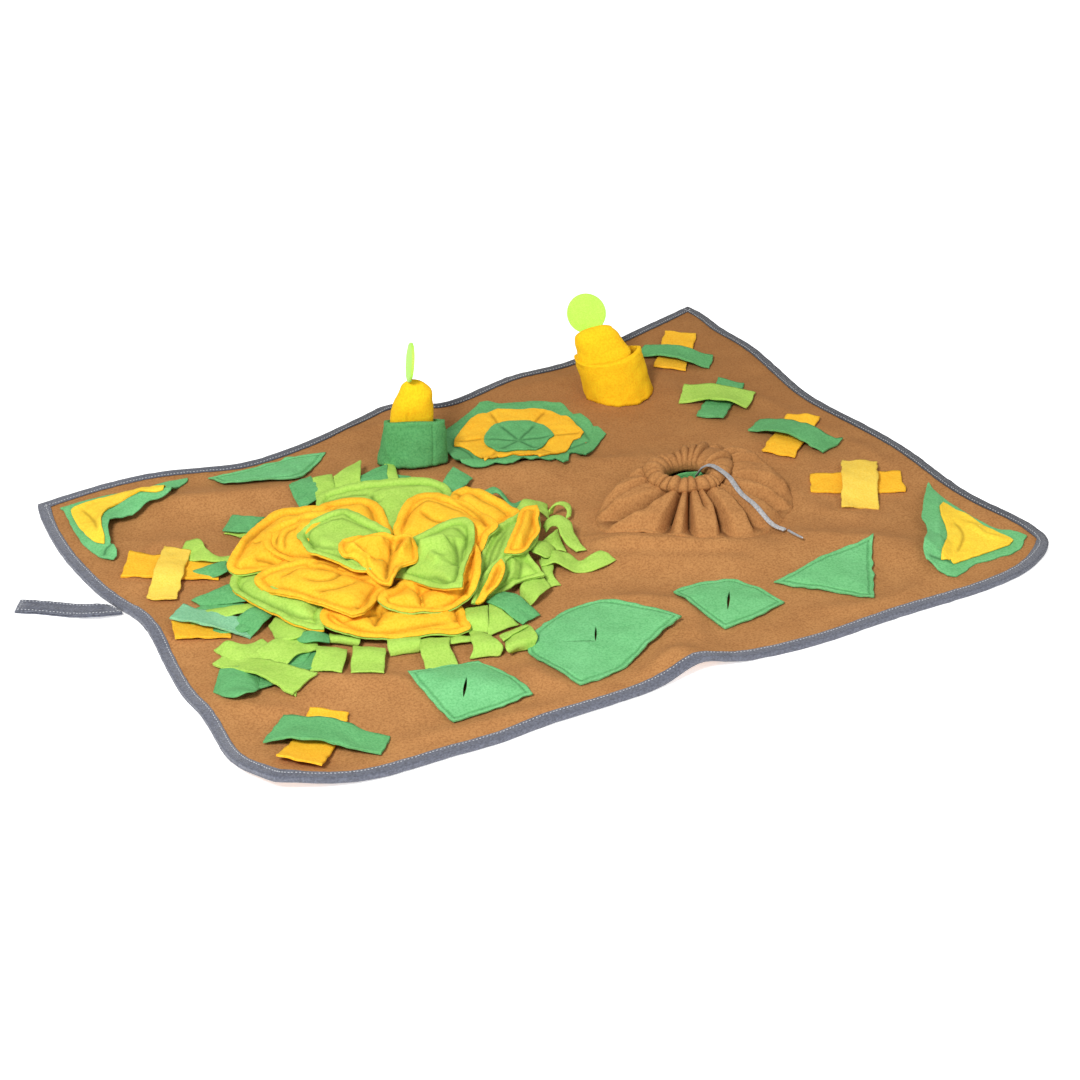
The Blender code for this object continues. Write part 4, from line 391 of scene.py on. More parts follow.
# sewn patches: cut outline (x, y, lift above the sheet in mm), then creases: height, half width, line
PATCHES = {
    "target_outer": ((
        (28, 262, 2), (48, 272, 2), (72, 285, 2), (87, 293, 2), (101, 301, 3), (110, 300, 3), (120, 292, 2),
        (146, 280, 2), (170, 269, 2), (181, 256, 3), (189, 251, 3), (190, 243, 2), (187, 229, 2), (186, 216, 2),
        (194, 212, 3), (194, 193, 3), (190, 175, 2), (194, 170, 3), (191, 148, 4), (177, 138, 4), (145, 111, 5),
        (132, 102, 6), (130, 111, 4), (134, 125, 2), (129, 130, 2), (122, 123, 3), (105, 99, 6), (97, 96, 7),
        (97, 113, 5), (87, 112, 5), (79, 120, 4), (65, 121, 5), (60, 127, 4), (39, 120, 6), (31, 122, 6),
        (22, 131, 5), (7, 131, 7), (-6, 136, 9), (-14, 146, 10), (-13, 162, 9), (-5, 189, 8), (-1, 211, 6),
        (14, 240, 3),
    ), (
        (-2.5, 4, ((10, 151), (19, 196), (14, 222))),
        (3, 5, ((21, 151), (44, 157), (59, 135))),
        (-2, 4, ((130, 141), (143, 142), (167, 146))),
        (-1.5, 3, ((179, 212), (175, 182), (167, 146))),
    )),
    "target_ring": ((
        (22, 228, 6), (35, 241, 5), (65, 265, 4.5), (81, 273, 5), (88, 273, 5.5), (92, 270, 5), (101, 272, 4.5),
        (110, 273, 4.5), (122, 264, 4.5), (133, 257, 4.5), (145, 253, 4.5), (159, 244, 5), (165, 233, 4.5),
        (168, 217, 5), (174, 213, 6), (175, 205, 5.5), (172, 189, 5), (171, 176, 5.5), (170, 167, 6), (159, 157, 6),
        (149, 156, 5), (138, 147, 5), (125, 134, 6), (108, 127, 6.5), (98, 125, 6), (78, 119, 6), (74, 135, 6),
        (64, 142, 6), (47, 149, 6.5), (39, 155, 7), (22, 143, 8), (11, 136, 9), (23, 166, 8.5), (23, 180, 8),
        (23, 201, 8), (20, 212, 8), (15, 216, 8),
    ), (
        (-2, 2.2, ((97, 270), (89, 233))),
        (-2, 2.2, ((159, 239), (128, 216))),
        (-2, 2.2, ((21, 222), (55, 214))),
        (-2, 2.2, ((167, 167), (133, 175))),
        (-2, 2.2, ((16, 144), (49, 175))),
        (-2, 2.2, ((107, 130), (97, 148))),
    )),
    "target_centre": ((
        (54, 210, 8), (69, 225, 7), (82, 233, 7), (95, 235, 7), (109, 229, 7), (125, 220, 7), (128, 210, 7),
        (133, 202, 7), (134, 192, 7), (130, 172, 7), (119, 167, 7), (95, 147, 8), (88, 145, 8), (84, 156, 8),
        (70, 164, 8), (56, 165, 8), (49, 169, 8), (48, 185, 8), (49, 198, 8),
    ), (
        (-2.4, 1.7, ((87, 184), (87, 230))),
        (-2.4, 1.7, ((87, 184), (126, 209))),
        (-2.4, 1.7, ((87, 184), (54, 207))),
        (-2.4, 1.7, ((87, 184), (127, 171))),
        (-2.4, 1.7, ((87, 184), (53, 172))),
        (-2.4, 1.7, ((87, 184), (94, 147))),
    )),
    "corner_right_pocket": ((
        (448, -166, 6), (446, -175, 3), (445, -187, 2), (443, -203, 2), (443, -222, 2), (443, -239, 2),
        (444, -257, 2), (446, -272, 2), (447, -283, 2), (451, -293, 2), (459, -301, 2), (462, -312, 2),
        (464, -323, 2), (454, -329, 2), (446, -336, 2), (433, -340, 2), (424, -341, 2), (413, -338, 2),
        (398, -338, 2), (385, -335, 2), (370, -337, 2), (357, -343, 2), (340, -347, 2), (333, -342, 3),
        (331, -330, 5), (329, -320, 8), (325, -314, 11), (330, -303, 12), (341, -290, 12), (370, -261, 12),
        (379, -246, 12), (383, -235, 12), (401, -215, 11), (418, -196, 10), (435, -179, 8),
    ), (
        (-3.5, 4, ((330, -310), (341, -317), (355, -324))),
        (2.5, 5, ((435, -200), (395, -248), (354, -301))),
    )),
    "corner_right_inset": ((
        (432, -213, 8), (419, -224, 10), (406, -243, 12), (396, -263, 13), (385, -279, 13), (367, -296, 13),
        (349, -312, 12), (343, -319, 11), (356, -320, 8), (353, -328, 6), (370, -327, 5), (393, -326, 4.5),
        (409, -325, 4.5), (422, -326, 4.5), (434, -327, 4.5), (444, -322, 4.5), (445, -314, 4.5), (442, -303, 4.5),
        (438, -281, 4.5), (439, -263, 4.5), (438, -246, 5), (433, -233, 6), (434, -223, 6),
    ), (
        (-2, 4, ((414, -253), (402, -285), (371, -312))),
        (2.5, 5, ((425, -263), (425, -297), (438, -315))),
    )),
    "corner_left_pocket": ((
        (-460, 317, 2), (-451, 317, 2), (-433, 320, 2), (-414, 320, 2), (-391, 319, 2), (-368, 313, 2),
        (-348, 313, 2), (-335, 315, 2), (-322, 315, 2), (-310, 313, 2), (-301, 312, 2), (-305, 306, 3),
        (-320, 295, 5), (-343, 265, 7), (-356, 260, 9), (-371, 260, 11), (-378, 258, 12), (-387, 253, 12),
        (-399, 248, 12), (-407, 249, 13), (-418, 253, 14), (-427, 251, 15), (-434, 239, 15), (-439, 226, 13),
        (-443, 212, 10), (-446, 206, 8), (-444, 199, 9), (-446, 187, 8), (-449, 180, 4), (-454, 176, 3),
        (-458, 181, 3), (-462, 189, 2), (-465, 202, 2), (-468, 225, 2), (-466, 254, 2), (-461, 287, 2),
        (-458, 313, 2),
    ), (
        (-3, 3, ((-460, 189), (-450, 201), (-444, 201))),
        (2.5, 4, ((-445, 225), (-433, 258), (-419, 272), (-396, 277), (-367, 269))),
    )),
    "corner_left_inset": ((
        (-448, 306, 4), (-435, 310, 4), (-420, 311, 4.5), (-402, 309, 5), (-383, 307, 6), (-367, 299, 7),
        (-354, 300, 7), (-347, 292, 7), (-342, 282, 7), (-352, 266, 8), (-361, 267, 9), (-372, 271, 10),
        (-385, 280, 11), (-399, 283, 12), (-415, 276, 13), (-424, 269, 13.5), (-435, 255, 14), (-442, 239, 13),
        (-447, 220, 11), (-451, 209, 9), (-456, 215, 6), (-459, 224, 5), (-460, 239, 4.5), (-459, 261, 4),
        (-456, 284, 4), (-452, 303, 4),
    ), (
        (-2, 4, ((-441, 298), (-441, 270), (-448, 234))),
    )),
}

# carrots, ring by ring from the tip: middle x, y, z, half width across the view, half depth
CARROTS = {
    "carrot_left": ((-46, 206, 118.2, 4.8, 2.5), (-45, 205, 115.8, 9.6, 6), (-45, 205, 111.8, 14.3, 9.5),
                    (-44, 205, 105.2, 18.8, 13.5), (-45, 205, 99.8, 20.8, 16), (-47, 206, 91.8, 22.8, 17.5),
                    (-47, 207, 85.1, 24.3, 18), (-48, 208, 75.6, 25.7, 16), (-48, 209, 64.8, 26.1, 14),
                    (-48, 209, 48.5, 25.7, 13.5), (-48, 209, 30.8, 24.2, 13), (-49, 208, 17.1, 20.6, 12)),
    "carrot_right": ((249, 240, 103.7, 6.6, 3), (246, 242, 100.9, 12.6, 6), (244, 243, 98.2, 18.0, 9),
                     (242, 244, 94.0, 24.4, 12), (241, 245, 89.8, 28.0, 14), (242, 244, 84.2, 30.3, 16),
                     (244, 243, 77.3, 32.5, 17.5), (247, 241, 70.3, 34.6, 18.5), (248, 240, 61.8, 35.2, 19),
                     (250, 239, 53.4, 34.3, 19), (254, 236, 35.0, 31.9, 19), (258, 234, 13.7, 26.8, 17)),
}
ACROSS, AWAY = np.array([0.853, -0.522]), np.array([0.522, 0.853])    # how the carrots and pots face

# pouch: outlines in plan, as in the CAD frame but for the wider neck
POUCH_MIDDLE = (190.0, -38.0)
POUCH_FOOT = [(62, -30), (59, -59), (83, -80), (105, -104), (123, -129), (181, -156),
              (214, -157), (256, -138), (284, -118), (302, -86), (304, -50), (294, -14),
              (262, 14), (228, 28), (179, 24), (124, 15), (92, 2)]
POUCH_NECK = [(152, -1), (143, -19), (141, -41), (147, -56), (159, -66), (176, -73), (194, -77), (214, -70),
              (235, -55), (248, -33), (249, -11), (240, 4), (222, 9), (201, 11), (177, 11)]
POUCH_MOUTH = [(159, -28), (158, -42), (167, -53), (181, -59), (196, -61), (207, -54), (212, -37), (208, -23),
               (196, -15), (181, -14)]
POUCH_RISE = ((0.0, 0.12, 0.34, 0.62, 0.84, 1.0), (0, 11, 22, 30, 34, 35))   # share of the way to the neck, z
# valleys: heading at the foot and at the neck, depth, half width in degrees, how far it runs towards the foot
POUCH_PLEATS = [(-181.5, -158, 17, 8, 1.0), (-165, -164.7, 5, 6, 0.6), (-141, -140.5, 14, 6, 1.0),
                (-124, -126, 14, 5, 1.0), (-108, -110, 5, 4, 0.4), (-101.6, -93.4, 15, 5.5, 1.0),
                (-95, -100, 7, 4, 0.4), (-79, -69, 12, 5.5, 1.0), (-49, -58, 12, 7, 1.0), (-36, -34, 13, 8, 0.95),
                (-13.4, 1.4, 15, 8, 0.9), (4, 14, 5, 5, 0.6), (20.7, 27.4, 6, 6, 0.8), (38, 43, 6, 6, 0.8),
                (55, 56, 5, 6, 0.6), (72, 72, 6, 6, 0.7), (87, 88, 6, 7, 0.9), (106, 105, 6, 7, 0.8),
                (125, 125, 7, 8, 0.9), (145, 146, 7, 8, 0.9), (170, 166, 7, 7, 0.95)]
# neck ring from its seam over the top into the mouth: share of the way to the mouth, proud, z, swell of a puff
POUCH_RING = [(0.0, -1.0, 34.5, 0.6), (0.02, 1.8, 36.5, 1.6), (0.0, 3.4, 40.0, 2.8), (0.06, 3.2, 43.5, 3.4),
              (0.18, 2.0, 46.8, 3.8), (0.34, 0.5, 48.6, 3.8), (0.52, 0, 48.8, 3.6), (0.7, 0, 47.8, 3.2),
              (0.85, 0, 45.8, 2.6), (0.95, 0, 43.0, 2.0), (1.0, 0, 39.5, 1.4), (1.0, 0, 36.0, 0.8),
              (0.97, 0, 32.0, 0.4), (0.93, 0, 28.0, 0.2)]

# drawcord: width and thickness, and where it leaves the pouch's mouth
LACE_WIDE, LACE_THICK = 7.4, 2.4
LACE_START = (199.0, -38.0, 32.0)
LACE_SIDES = 8                    # points round the CAD cord

# edge tape and hanging loop: finer levels, stitches in from the edge, flat width and length in m, what it lies on
TAPES = {"edge_binding": (2, 9.6, (0.025, 3.42), "base_mat"), "hanging_loop": (3, 2.6, (0.024, 0.23), "floor")}

# lights: place, aim, size of the disk, power
LIGHTS = {"key_light": ((-2.05, -1.65, 2.5), (0, 0, 0), 0.8, 122.0),
          "fill_light": ((0.2, -2.4, 1.7), (0.1, 0, 0), 1.4, 14.0)}
FLOOR_GLOW, WORLD_GLOW = 0.55, 0.42    # the mat lies on a light table, lit from below

# patches that lie on another patch
PATCH_BELOW = {"corner_left_inset": "corner_left_pocket", "corner_right_inset": "corner_right_pocket",
               "target_ring": "target_outer", "target_centre": "target_ring"}

# how much these petals are raised off the ones below, in mm
PETAL_LIFT = {"petal_left_mid": 1.8, "petal_front_left_mid": 1.8, "petal_inner_left": 2.6, "petal_centre": 2.2}

# half the thickness, in mm, of a patch, a petal and a small petal
PATCH_HALF, PETAL_HALF, SMALL_PETAL_HALF = 1.1, 2.4, 1.8

NO_SEAM = 90.0                    # a seam so far in that it meets no cloth
POCKET_SEAM = 5.0                 # from the cut edge of a leaf or a slit pocket to its seam
CARROT_SEAMS = {"carrot_left": -5.0, "carrot_right": -16.0}    # place of the seam across the carrot

POUCH_BULGES = ((1.0, 8, 52), (0.45, 150, 40))    # where it stands fuller: share, heading, half width in degrees
POUCH_BULGE_RISE = ((0, 0.1, 0.3, 0.7, 1), (0, 13, 15, 8, 0))    # share of the way to the neck, z
POUCH_LINING = ((0.9, 29), (0.96, 25), (1.0, 18), (0.92, 12), (0.7, 9.5), (0.35, 8.5), (0.06, 8.2))    # share, z
POUCH_PUFFS = 23                  # gathers round the pouch's neck


# ================================================================ user settings
class MatSizes(bpy.types.PropertyGroup):
    """Sizes of the sewing and the pile."""
    seam_inset: FloatProperty(name="Seam inset", description="Petal seam to cut edge", default=9.0 * MM,
                              unit="LENGTH")
    pad_rise: FloatProperty(name="Petal padding", description="How far a petal swells inside its seam",
                            default=4.2 * MM, unit="LENGTH")
    stitch_pitch: FloatProperty(name="Stitch pitch", description="From one stitch to the next", default=4.0 * MM,
                                unit="LENGTH")
    pile_size: FloatProperty(name="Pile clump", description="Width of a clump of fleece pile", default=2.4 * MM,
                             unit="LENGTH")


class MatColours(bpy.types.PropertyGroup):
    """Colours of tape, thread and cord."""
    tape: FloatVectorProperty(name="Tape", description="Woven edge tape", subtype="COLOR", size=3,
                              default=(0.135, 0.145, 0.185), min=0, max=1)
    thread: FloatVectorProperty(name="Thread", description="Pale sewing thread", subtype="COLOR", size=3,
                                default=(0.62, 0.64, 0.66), min=0, max=1)
    cord: FloatVectorProperty(name="Drawcord", description="Flat woven cord", subtype="COLOR", size=3,
                              default=(0.6, 0.59, 0.59), min=0, max=1)


# ================================================================ materials
def linear(hexcode):
    """sRGB hex to linear colour with alpha."""
    out = []
    for k in (0, 2, 4):
        c = int(hexcode[k:k + 2], 16) / 255
        out.append(c / 12.92 if c <= 0.04045 else ((c + 0.055) / 1.055) ** 2.4)
    return (*out, 1.0)


def add_node(tree, kind, inputs=(), **settings):
    """Adds a shader node, its settings and what feeds its inputs."""
    made = tree.nodes.new(kind)
    for key, value in settings.items():
        setattr(made, key, value)
    for key, value in dict(inputs).items():
        if isinstance(value, bpy.types.NodeSocket):
            tree.links.new(value, made.inputs[key])
        else:
            made.inputs[key].default_value = value
    return made


def new_material(name, roughness, **sockets):
    """Empty principled material; returns it, its tree and shader."""
    material = bpy.data.materials.new(name)
    material.use_nodes = True
    tree = material.node_tree
    shader = tree.nodes["Principled BSDF"]
    shader.inputs["Roughness"].default_value = roughness
    for key, value in sockets.items():
        shader.inputs[key.replace("_", " ")].default_value = value
    return material, tree, shader


def math_node(tree, operation, a, b=0.0, clamp=False):
    return add_node(tree, "ShaderNodeMath", {0: a, 1: b}, operation=operation, use_clamp=clamp).outputs[0]


def smooth_band(tree, value, low, high, to_low=0.0, to_high=1.0):
    """Smooth step of a value between two limits."""
    return add_node(tree, "ShaderNodeMapRange", {"Value": value, "From Min": low, "From Max": high,
                                                 "To Min": to_low, "To Max": to_high},
                    interpolation_type="SMOOTHSTEP").outputs["Result"]


def mix_colour(tree, factor, a, b, blend="MIX"):
    return add_node(tree, "ShaderNodeMix", {"Factor": factor, 6: a, 7: b}, data_type="RGBA",
                    blend_type=blend).outputs[2]


def place_in(tree):
    """Where a point lies on its object, in metres."""
    return add_node(tree, "ShaderNodeTexCoord").outputs["Object"]


def number_from(tree, name):
    """A number that the piece stores at its points."""
    return add_node(tree, "ShaderNodeAttribute", attribute_name=name).outputs["Fac"]


def noise(tree, place, clump, **sockets):
    """Noise with clumps of about this width in metres."""
    return add_node(tree, "ShaderNodeTexNoise", {"Vector": place, "Scale": 1 / clump, **sockets}).outputs["Fac"]


def way_along(tree, place, heading):
    """How far a point lies along a heading, in metres."""
    return add_node(tree, "ShaderNodeVectorMath", {0: place, 1: heading}, operation="DOT_PRODUCT").outputs["Value"]


def add_bump(tree, shader, height, strength, distance):
    bump = add_node(tree, "ShaderNodeBump", {"Height": height, "Strength": strength, "Distance": distance})
    tree.links.new(bump.outputs["Normal"], shader.inputs["Normal"])


def fleece(name, face, shade, under=None, seam=None, nap=False):
    """Brushed polyester fleece: clumped matt pile that glows a little at grazing angles.

    Painted shade: its colour darkens towards the back of the mat, where the lamp's light falls off.
    """
    material, tree, shader = new_material(name, 0.95, Sheen_Weight=0.14, Sheen_Roughness=0.5,
                                          Specular_IOR_Level=0.15)
    sizes = bpy.context.scene.mat_sizes
    place = place_in(tree)
    clump = noise(tree, place, sizes.pile_size, Detail=3.0, Roughness=0.6)
    fibre = noise(tree, place, 0.9 * MM, Detail=1.0, Roughness=0.5)
    mottle = noise(tree, place, 34 * MM, Detail=2.0, Roughness=0.5)
    depth = smooth_band(tree, clump, 0.28, 0.64, 0.3, 1.0)
    colour = mix_colour(tree, depth, linear(shade), linear(face))
    if under:
        below = mix_colour(tree, depth, linear(under[1]), linear(under[0]))
        colour = mix_colour(tree, smooth_band(tree, number_from(tree, "layer"), 0.46, 0.54), below, colour)
    colour = mix_colour(tree, smooth_band(tree, mottle, 0.3, 0.75, 0.0, 0.16), colour, linear("FFFFFF"), "SOFT_LIGHT")
    painted_crease_shade = math_node(tree, "MULTIPLY", number_from(tree, "crease"), 0.8, True)      # painted shade in creases and valleys
    colour = mix_colour(tree, painted_crease_shade, colour, (*[c * 0.35 for c in linear(shade)[:3]], 1.0))
    # painted shade: darker towards the back, where the lamp's light falls off
    if nap:
        back = way_along(tree, place, (*AWAY, 0.0))
        colour = mix_colour(tree, smooth_band(tree, back, 0.02, 0.42, 0.0, 0.42), colour, linear(shade))
    height = math_node(tree, "ADD", math_node(tree, "MULTIPLY", clump, 0.8), math_node(tree, "MULTIPLY", fibre, 0.3))
    if seam:
        off = math_node(tree, "ABSOLUTE", math_node(tree, "SUBTRACT", number_from(tree, "rim"), seam * MM))
        groove = smooth_band(tree, off, 0.0, 2.2 * MM, 1.0, 0.0)
        pitch = sizes.stitch_pitch
        dash = math_node(tree, "PINGPONG", number_from(tree, "run"), pitch / 2)
        stitch = math_node(tree, "MULTIPLY", smooth_band(tree, dash, 0.18 * pitch, 0.3 * pitch),
                           smooth_band(tree, off, 0.3 * MM, 0.7 * MM, 1.0, 0.0))
        # painted shade in the seam's groove
        colour = mix_colour(tree, math_node(tree, "MULTIPLY", groove, 0.3), colour, linear(shade), "MULTIPLY")
        height = math_node(tree, "SUBTRACT", height, math_node(tree, "MULTIPLY", groove, 0.8))
        height = math_node(tree, "ADD", height, math_node(tree, "MULTIPLY", stitch, 0.5))
    add_bump(tree, shader, height, 0.9, 0.9 * MM)
    tree.links.new(colour, shader.inputs["Base Color"])
    shader.inputs["Sheen Tint"].default_value = linear(face)
    return material


def woven_tape(name, colour, pitch=0.9):
    """Woven polyester tape: fine ribs across, dull, faintly streaked, with painted shade darker towards the back of the
    mat.
    """
    material, tree, shader = new_material(name, 0.8, Sheen_Weight=0.2, Specular_IOR_Level=0.25)
    uv = add_node(tree, "ShaderNodeUVMap", uv_map="run").outputs["UV"]
    parts = add_node(tree, "ShaderNodeSeparateXYZ", {0: uv})
    ribs = [math_node(tree, "SINE", math_node(tree, "MULTIPLY", parts.outputs[way], 2 * math.pi / (pitch * MM)))
            for way in "XY"]
    weave = math_node(tree, "MULTIPLY", *ribs)
    place = place_in(tree)
    fuzz = noise(tree, place, 2.5 * MM, Detail=3.0)
    worn, bright, far = ((*[min(1, c * share) for c in colour], 1) for share in (0.72, 1.28, 0.25))
    base = mix_colour(tree, smooth_band(tree, fuzz, 0.3, 0.7), worn, bright)
    # painted shade: darker towards the back of the mat, on edges that face away from the lamp
    back = way_along(tree, place, (0.7, 0.714, 0.0))
    base = mix_colour(tree, smooth_band(tree, back, -0.05, 0.2, 0.0, 0.85), base, far)
    base = mix_colour(tree, smooth_band(tree, weave, -1, 1, 0.0, 0.22), base, (0.02, 0.02, 0.03, 1))
    add_bump(tree, shader, math_node(tree, "ADD", math_node(tree, "MULTIPLY", weave, 0.4), fuzz), 0.7, 0.5 * MM)
    tree.links.new(base, shader.inputs["Base Color"])
    return material


def thread_material(name, colour):
    """Polyester sewing thread: smooth, slightly shiny."""
    material, tree, shader = new_material(name, 0.6, Specular_IOR_Level=0.4)
    twist = noise(tree, place_in(tree), 0.8 * MM)
    tree.links.new(mix_colour(tree, twist, (*[c * 0.8 for c in colour], 1), (*colour, 1)), shader.inputs["Base Color"])
    return material


def felt(name, face, shade):
    """Pressed felt: flat and matt, hair-fine speckle."""
    material, tree, shader = new_material(name, 0.9, Sheen_Weight=0.2, Specular_IOR_Level=0.2)
    hair = noise(tree, place_in(tree), 1.3 * MM, Detail=4.0)
    colour = mix_colour(tree, smooth_band(tree, hair, 0.3, 0.7), linear(shade), linear(face))
    tree.links.new(colour, shader.inputs["Base Color"])
    add_bump(tree, shader, hair, 0.3, 0.4 * MM)
    return material


def steel(name):
    """Crimped zinc-plated steel sleeve: grey, softly polished, fine scratches along it."""
    material, tree, shader = new_material(name, 0.35, Metallic=0.7)
    scratch = noise(tree, place_in(tree), 1.5 * MM, Detail=2.0)
    tree.links.new(mix_colour(tree, scratch, linear("A4A8AE"), linear("D8DCE0")), shader.inputs["Base Color"])
    tree.links.new(smooth_band(tree, scratch, 0.2, 0.8, 0.28, 0.5), shader.inputs["Roughness"])
    return material


MATERIALS = {}


def shared(make, name, *settings, **more):
    """A material that several pieces share, made the first time it is asked for."""
    if name not in MATERIALS:
        MATERIALS[name] = make(name, *settings, **more)
    return MATERIALS[name]


def cloth_material(cloth, under=None, seam=None):
    """One fleece for each pairing of cloths and seam."""
    name = f"{cloth}_fleece" + (f"_on_{under}" if under else "") + (f"_seam{seam:g}" if seam else "")
    return shared(fleece, name, *CLOTHS[cloth], under=CLOTHS.get(under), seam=seam, nap=cloth == "brown")


# ================================================================ cloth shapes
def ripple(points, size, seed, waves=14):
    """Soft unevenness of cloth: waves of about one size, from -1 to 1."""
    rng = np.random.default_rng(seed)
    total = np.zeros(len(points))
    for _ in range(waves):
        heading = rng.normal(size=3)
        heading /= np.linalg.norm(heading)
        total += np.sin(points @ heading * (2 * math.pi / (size * MM * rng.uniform(0.7, 1.5))) + rng.uniform(0, 6.28))
    return total / math.sqrt(waves / 2) / 2


def opened(mesh):
    """A mesh opened for editing."""
    bm = bmesh.new()
    bm.from_mesh(mesh)
    return bm


def write_back(bm, mesh):
    """Writes an edited mesh back."""
    bm.to_mesh(mesh)
    bm.free()


def tree_of(mesh):
    """A mesh to cast rays at."""
    bm = opened(mesh)
    tree = BVHTree.FromBMesh(bm)
    bm.free()
    return tree


def hit_below(tree, x, y):
    """Where a plumb line at x, y in mm first meets a mesh, in metres, or None."""
    return tree.ray_cast(Vector((x * MM, y * MM, 1.0)), Vector((0, 0, -1)))[0]


def numbers(items, key, width=1, kind=float):
    """One array of a value that all the items of a mesh have."""
    out = np.zeros(len(items) * width, kind)
    items.foreach_get(key, out)
    return out.reshape(-1, width) if width > 1 else out


def finer_copy(node, name, levels, crease=1.0, sharp=58.0):
    """Object with the CAD cloth's mesh merged, its quads restored and its cut edges kept, then subdivided."""
    mesh = bpy.data.meshes.new(name)
    bm = opened(NODES[node].data)
    bmesh.ops.remove_doubles(bm, verts=bm.verts, dist=0.01 * MM)
    bmesh.ops.join_triangles(bm, faces=bm.faces[:], angle_face_threshold=math.radians(48),
                             angle_shape_threshold=math.radians(150))
    layer = bm.edges.layers.float.get("crease_edge") or bm.edges.layers.float.new("crease_edge")
    limit = math.radians(sharp)
    cut = set()
    for edge in bm.edges:
        if len(edge.link_faces) == 2 and edge.calc_face_angle() > limit:
            edge[layer] = crease
            cut.add(edge)
    sort_sides(bm, cut)
    write_back(bm, mesh)
    obj = bpy.data.objects.new(name, mesh)
    bpy.context.scene.collection.objects.link(obj)
    subdivide(obj, levels)
    return obj


def sort_sides(bm, cut):
    """Marks each face as top, underside or cut edge by its material index."""
    groups, seen = [], set()
    for start in bm.faces:
        if start in seen:
            continue
        group, queue = [], [start]
        seen.add(start)
        while queue:
            face = queue.pop()
            group.append(face)
            for edge in face.edges:
                if edge in cut:
                    continue
                for other in edge.link_faces:
                    if other not in seen:
                        seen.add(other)
                        queue.append(other)
        groups.append(group)
    groups.sort(key=lambda g: -sum(f.calc_area() for f in g))
    rise = [sum(f.normal.z * f.calc_area() for f in g) for g in groups[:2]]
    if len(rise) == 2 and rise[1] > rise[0]:
        groups[0], groups[1] = groups[1], groups[0]
    for index, group in enumerate(groups):
        for face in group:
            face.material_index = min(index, EDGE)


def only(obj):
    """Makes obj the one selected, active object."""
    bpy.ops.object.select_all(action="DESELECT")
    obj.select_set(True)
    bpy.context.view_layer.objects.active = obj


def smooth(obj, angle=None):
    """Shades the piece smooth, up to an angle in degrees."""
    only(obj)
    if angle:
        bpy.ops.object.shade_smooth_by_angle(angle=math.radians(angle))
    else:
        bpy.ops.object.shade_smooth()


def subdivide(obj, levels):
    """Smooths the piece with a subdivision surface and applies it."""
    only(obj)
    mod = obj.modifiers.new("smooth", "SUBSURF")
    mod.levels = mod.render_levels = levels
    mod.boundary_smooth = "PRESERVE_CORNERS"
    bpy.ops.object.modifier_apply(modifier=mod.name)


class Fields:
    """Numbers at each point of a cloth piece: place, normal, side, distance to the cut edge."""

    def __init__(self, obj):
        mesh = obj.data
        self.obj = obj
        n = len(mesh.vertices)
        self.place = numbers(mesh.vertices, "co", 3)
        self.normal = np.array([v.vector for v in mesh.vertex_normals])
        face_side = np.repeat(numbers(mesh.polygons, "material_index", kind=int),
                              numbers(mesh.polygons, "loop_total", kind=int))
        touches = np.zeros((n, 3), bool)
        touches[numbers(mesh.loops, "vertex_index", kind=int), face_side] = True
        self.side = np.where(touches[:, EDGE], EDGE, np.where(touches[:, UNDER], UNDER, TOP))
        edges = np.array([e.vertices for e in mesh.edges])
        self.rims = [self.loops_of(edges, touches[:, EDGE] & touches[:, which]) for which in (TOP, UNDER)]
        self.rim = np.full(n, 1.0)
        self.run = np.zeros(n)
        reach = []
        for points, lengths in self.rims:
            if not len(points):
                reach.append(np.full(n, 1.0))
                continue
            tree = KDTree(len(points))
            for k, p in enumerate(points):
                tree.insert(p, k)
            tree.balance()
            found = [tree.find(p) for p in self.place]
            far = np.array([f[2] for f in found])
            at = np.array([lengths[f[1]] for f in found])
            closer = far < self.rim
            self.rim[closer] = far[closer]
            self.run[closer] = at[closer]
            reach.append(far)
        share = reach[1] / np.maximum(reach[0] + reach[1], 1e-9)
        self.layer = np.where(touches[:, EDGE], share, np.where(self.side == TOP, 1.0, 0.0))

    def loops_of(self, edges, on_rim):
        """Dense points along the longest rim, and the length run at each."""
        near = {}
        for a, b in edges[on_rim[edges].all(axis=1)]:
            near.setdefault(int(a), []).append(int(b))
            near.setdefault(int(b), []).append(int(a))
        longest, seen = ([], []), set()
        for start in sorted(near):
            if start in seen:
                continue
            points, lengths = [], []
            here, run = start, 0.0
            while here is not None:
                seen.add(here)
                onward = [k for k in near[here] if k not in seen]
                there = onward[0] if onward else (start if start in near[here] else None)
                if there is None:
                    break
                a, b = self.place[here], self.place[there]
                long = float(np.linalg.norm(b - a))
                for t in np.arange(0, 1, min(1.0, 0.7 * MM / max(long, 1e-6))):
                    points.append(Vector(a + (b - a) * t))
                    lengths.append(run + long * t)
                run += long
                here = there if there not in seen else None
            if len(points) > len(longest[0]):
                longest = (points, lengths)
        return longest

    def move(self, offset):
        """Moves the points along their normals."""
        self.place += self.normal * offset[:, None]
        self.write()

    def write(self):
        """Writes the places to the mesh."""
        mesh = self.obj.data
        mesh.vertices.foreach_set("co", self.place.ravel())
        mesh.update()
        self.normal = np.array([v.vector for v in mesh.vertex_normals])

    def keep(self):
        """Stores the fields that the materials read."""
        for name, values in (("rim", self.rim), ("run", self.run), ("layer", self.layer)):
            layer = self.obj.data.attributes.new(name, "FLOAT", "POINT")
            layer.data.foreach_set("value", values.astype(np.float32))


def unit(vectors):
    """Vectors at length one."""
    vectors = np.asarray(vectors, float)
    return vectors / np.maximum(np.linalg.norm(vectors, axis=-1, keepdims=True), 1e-12)


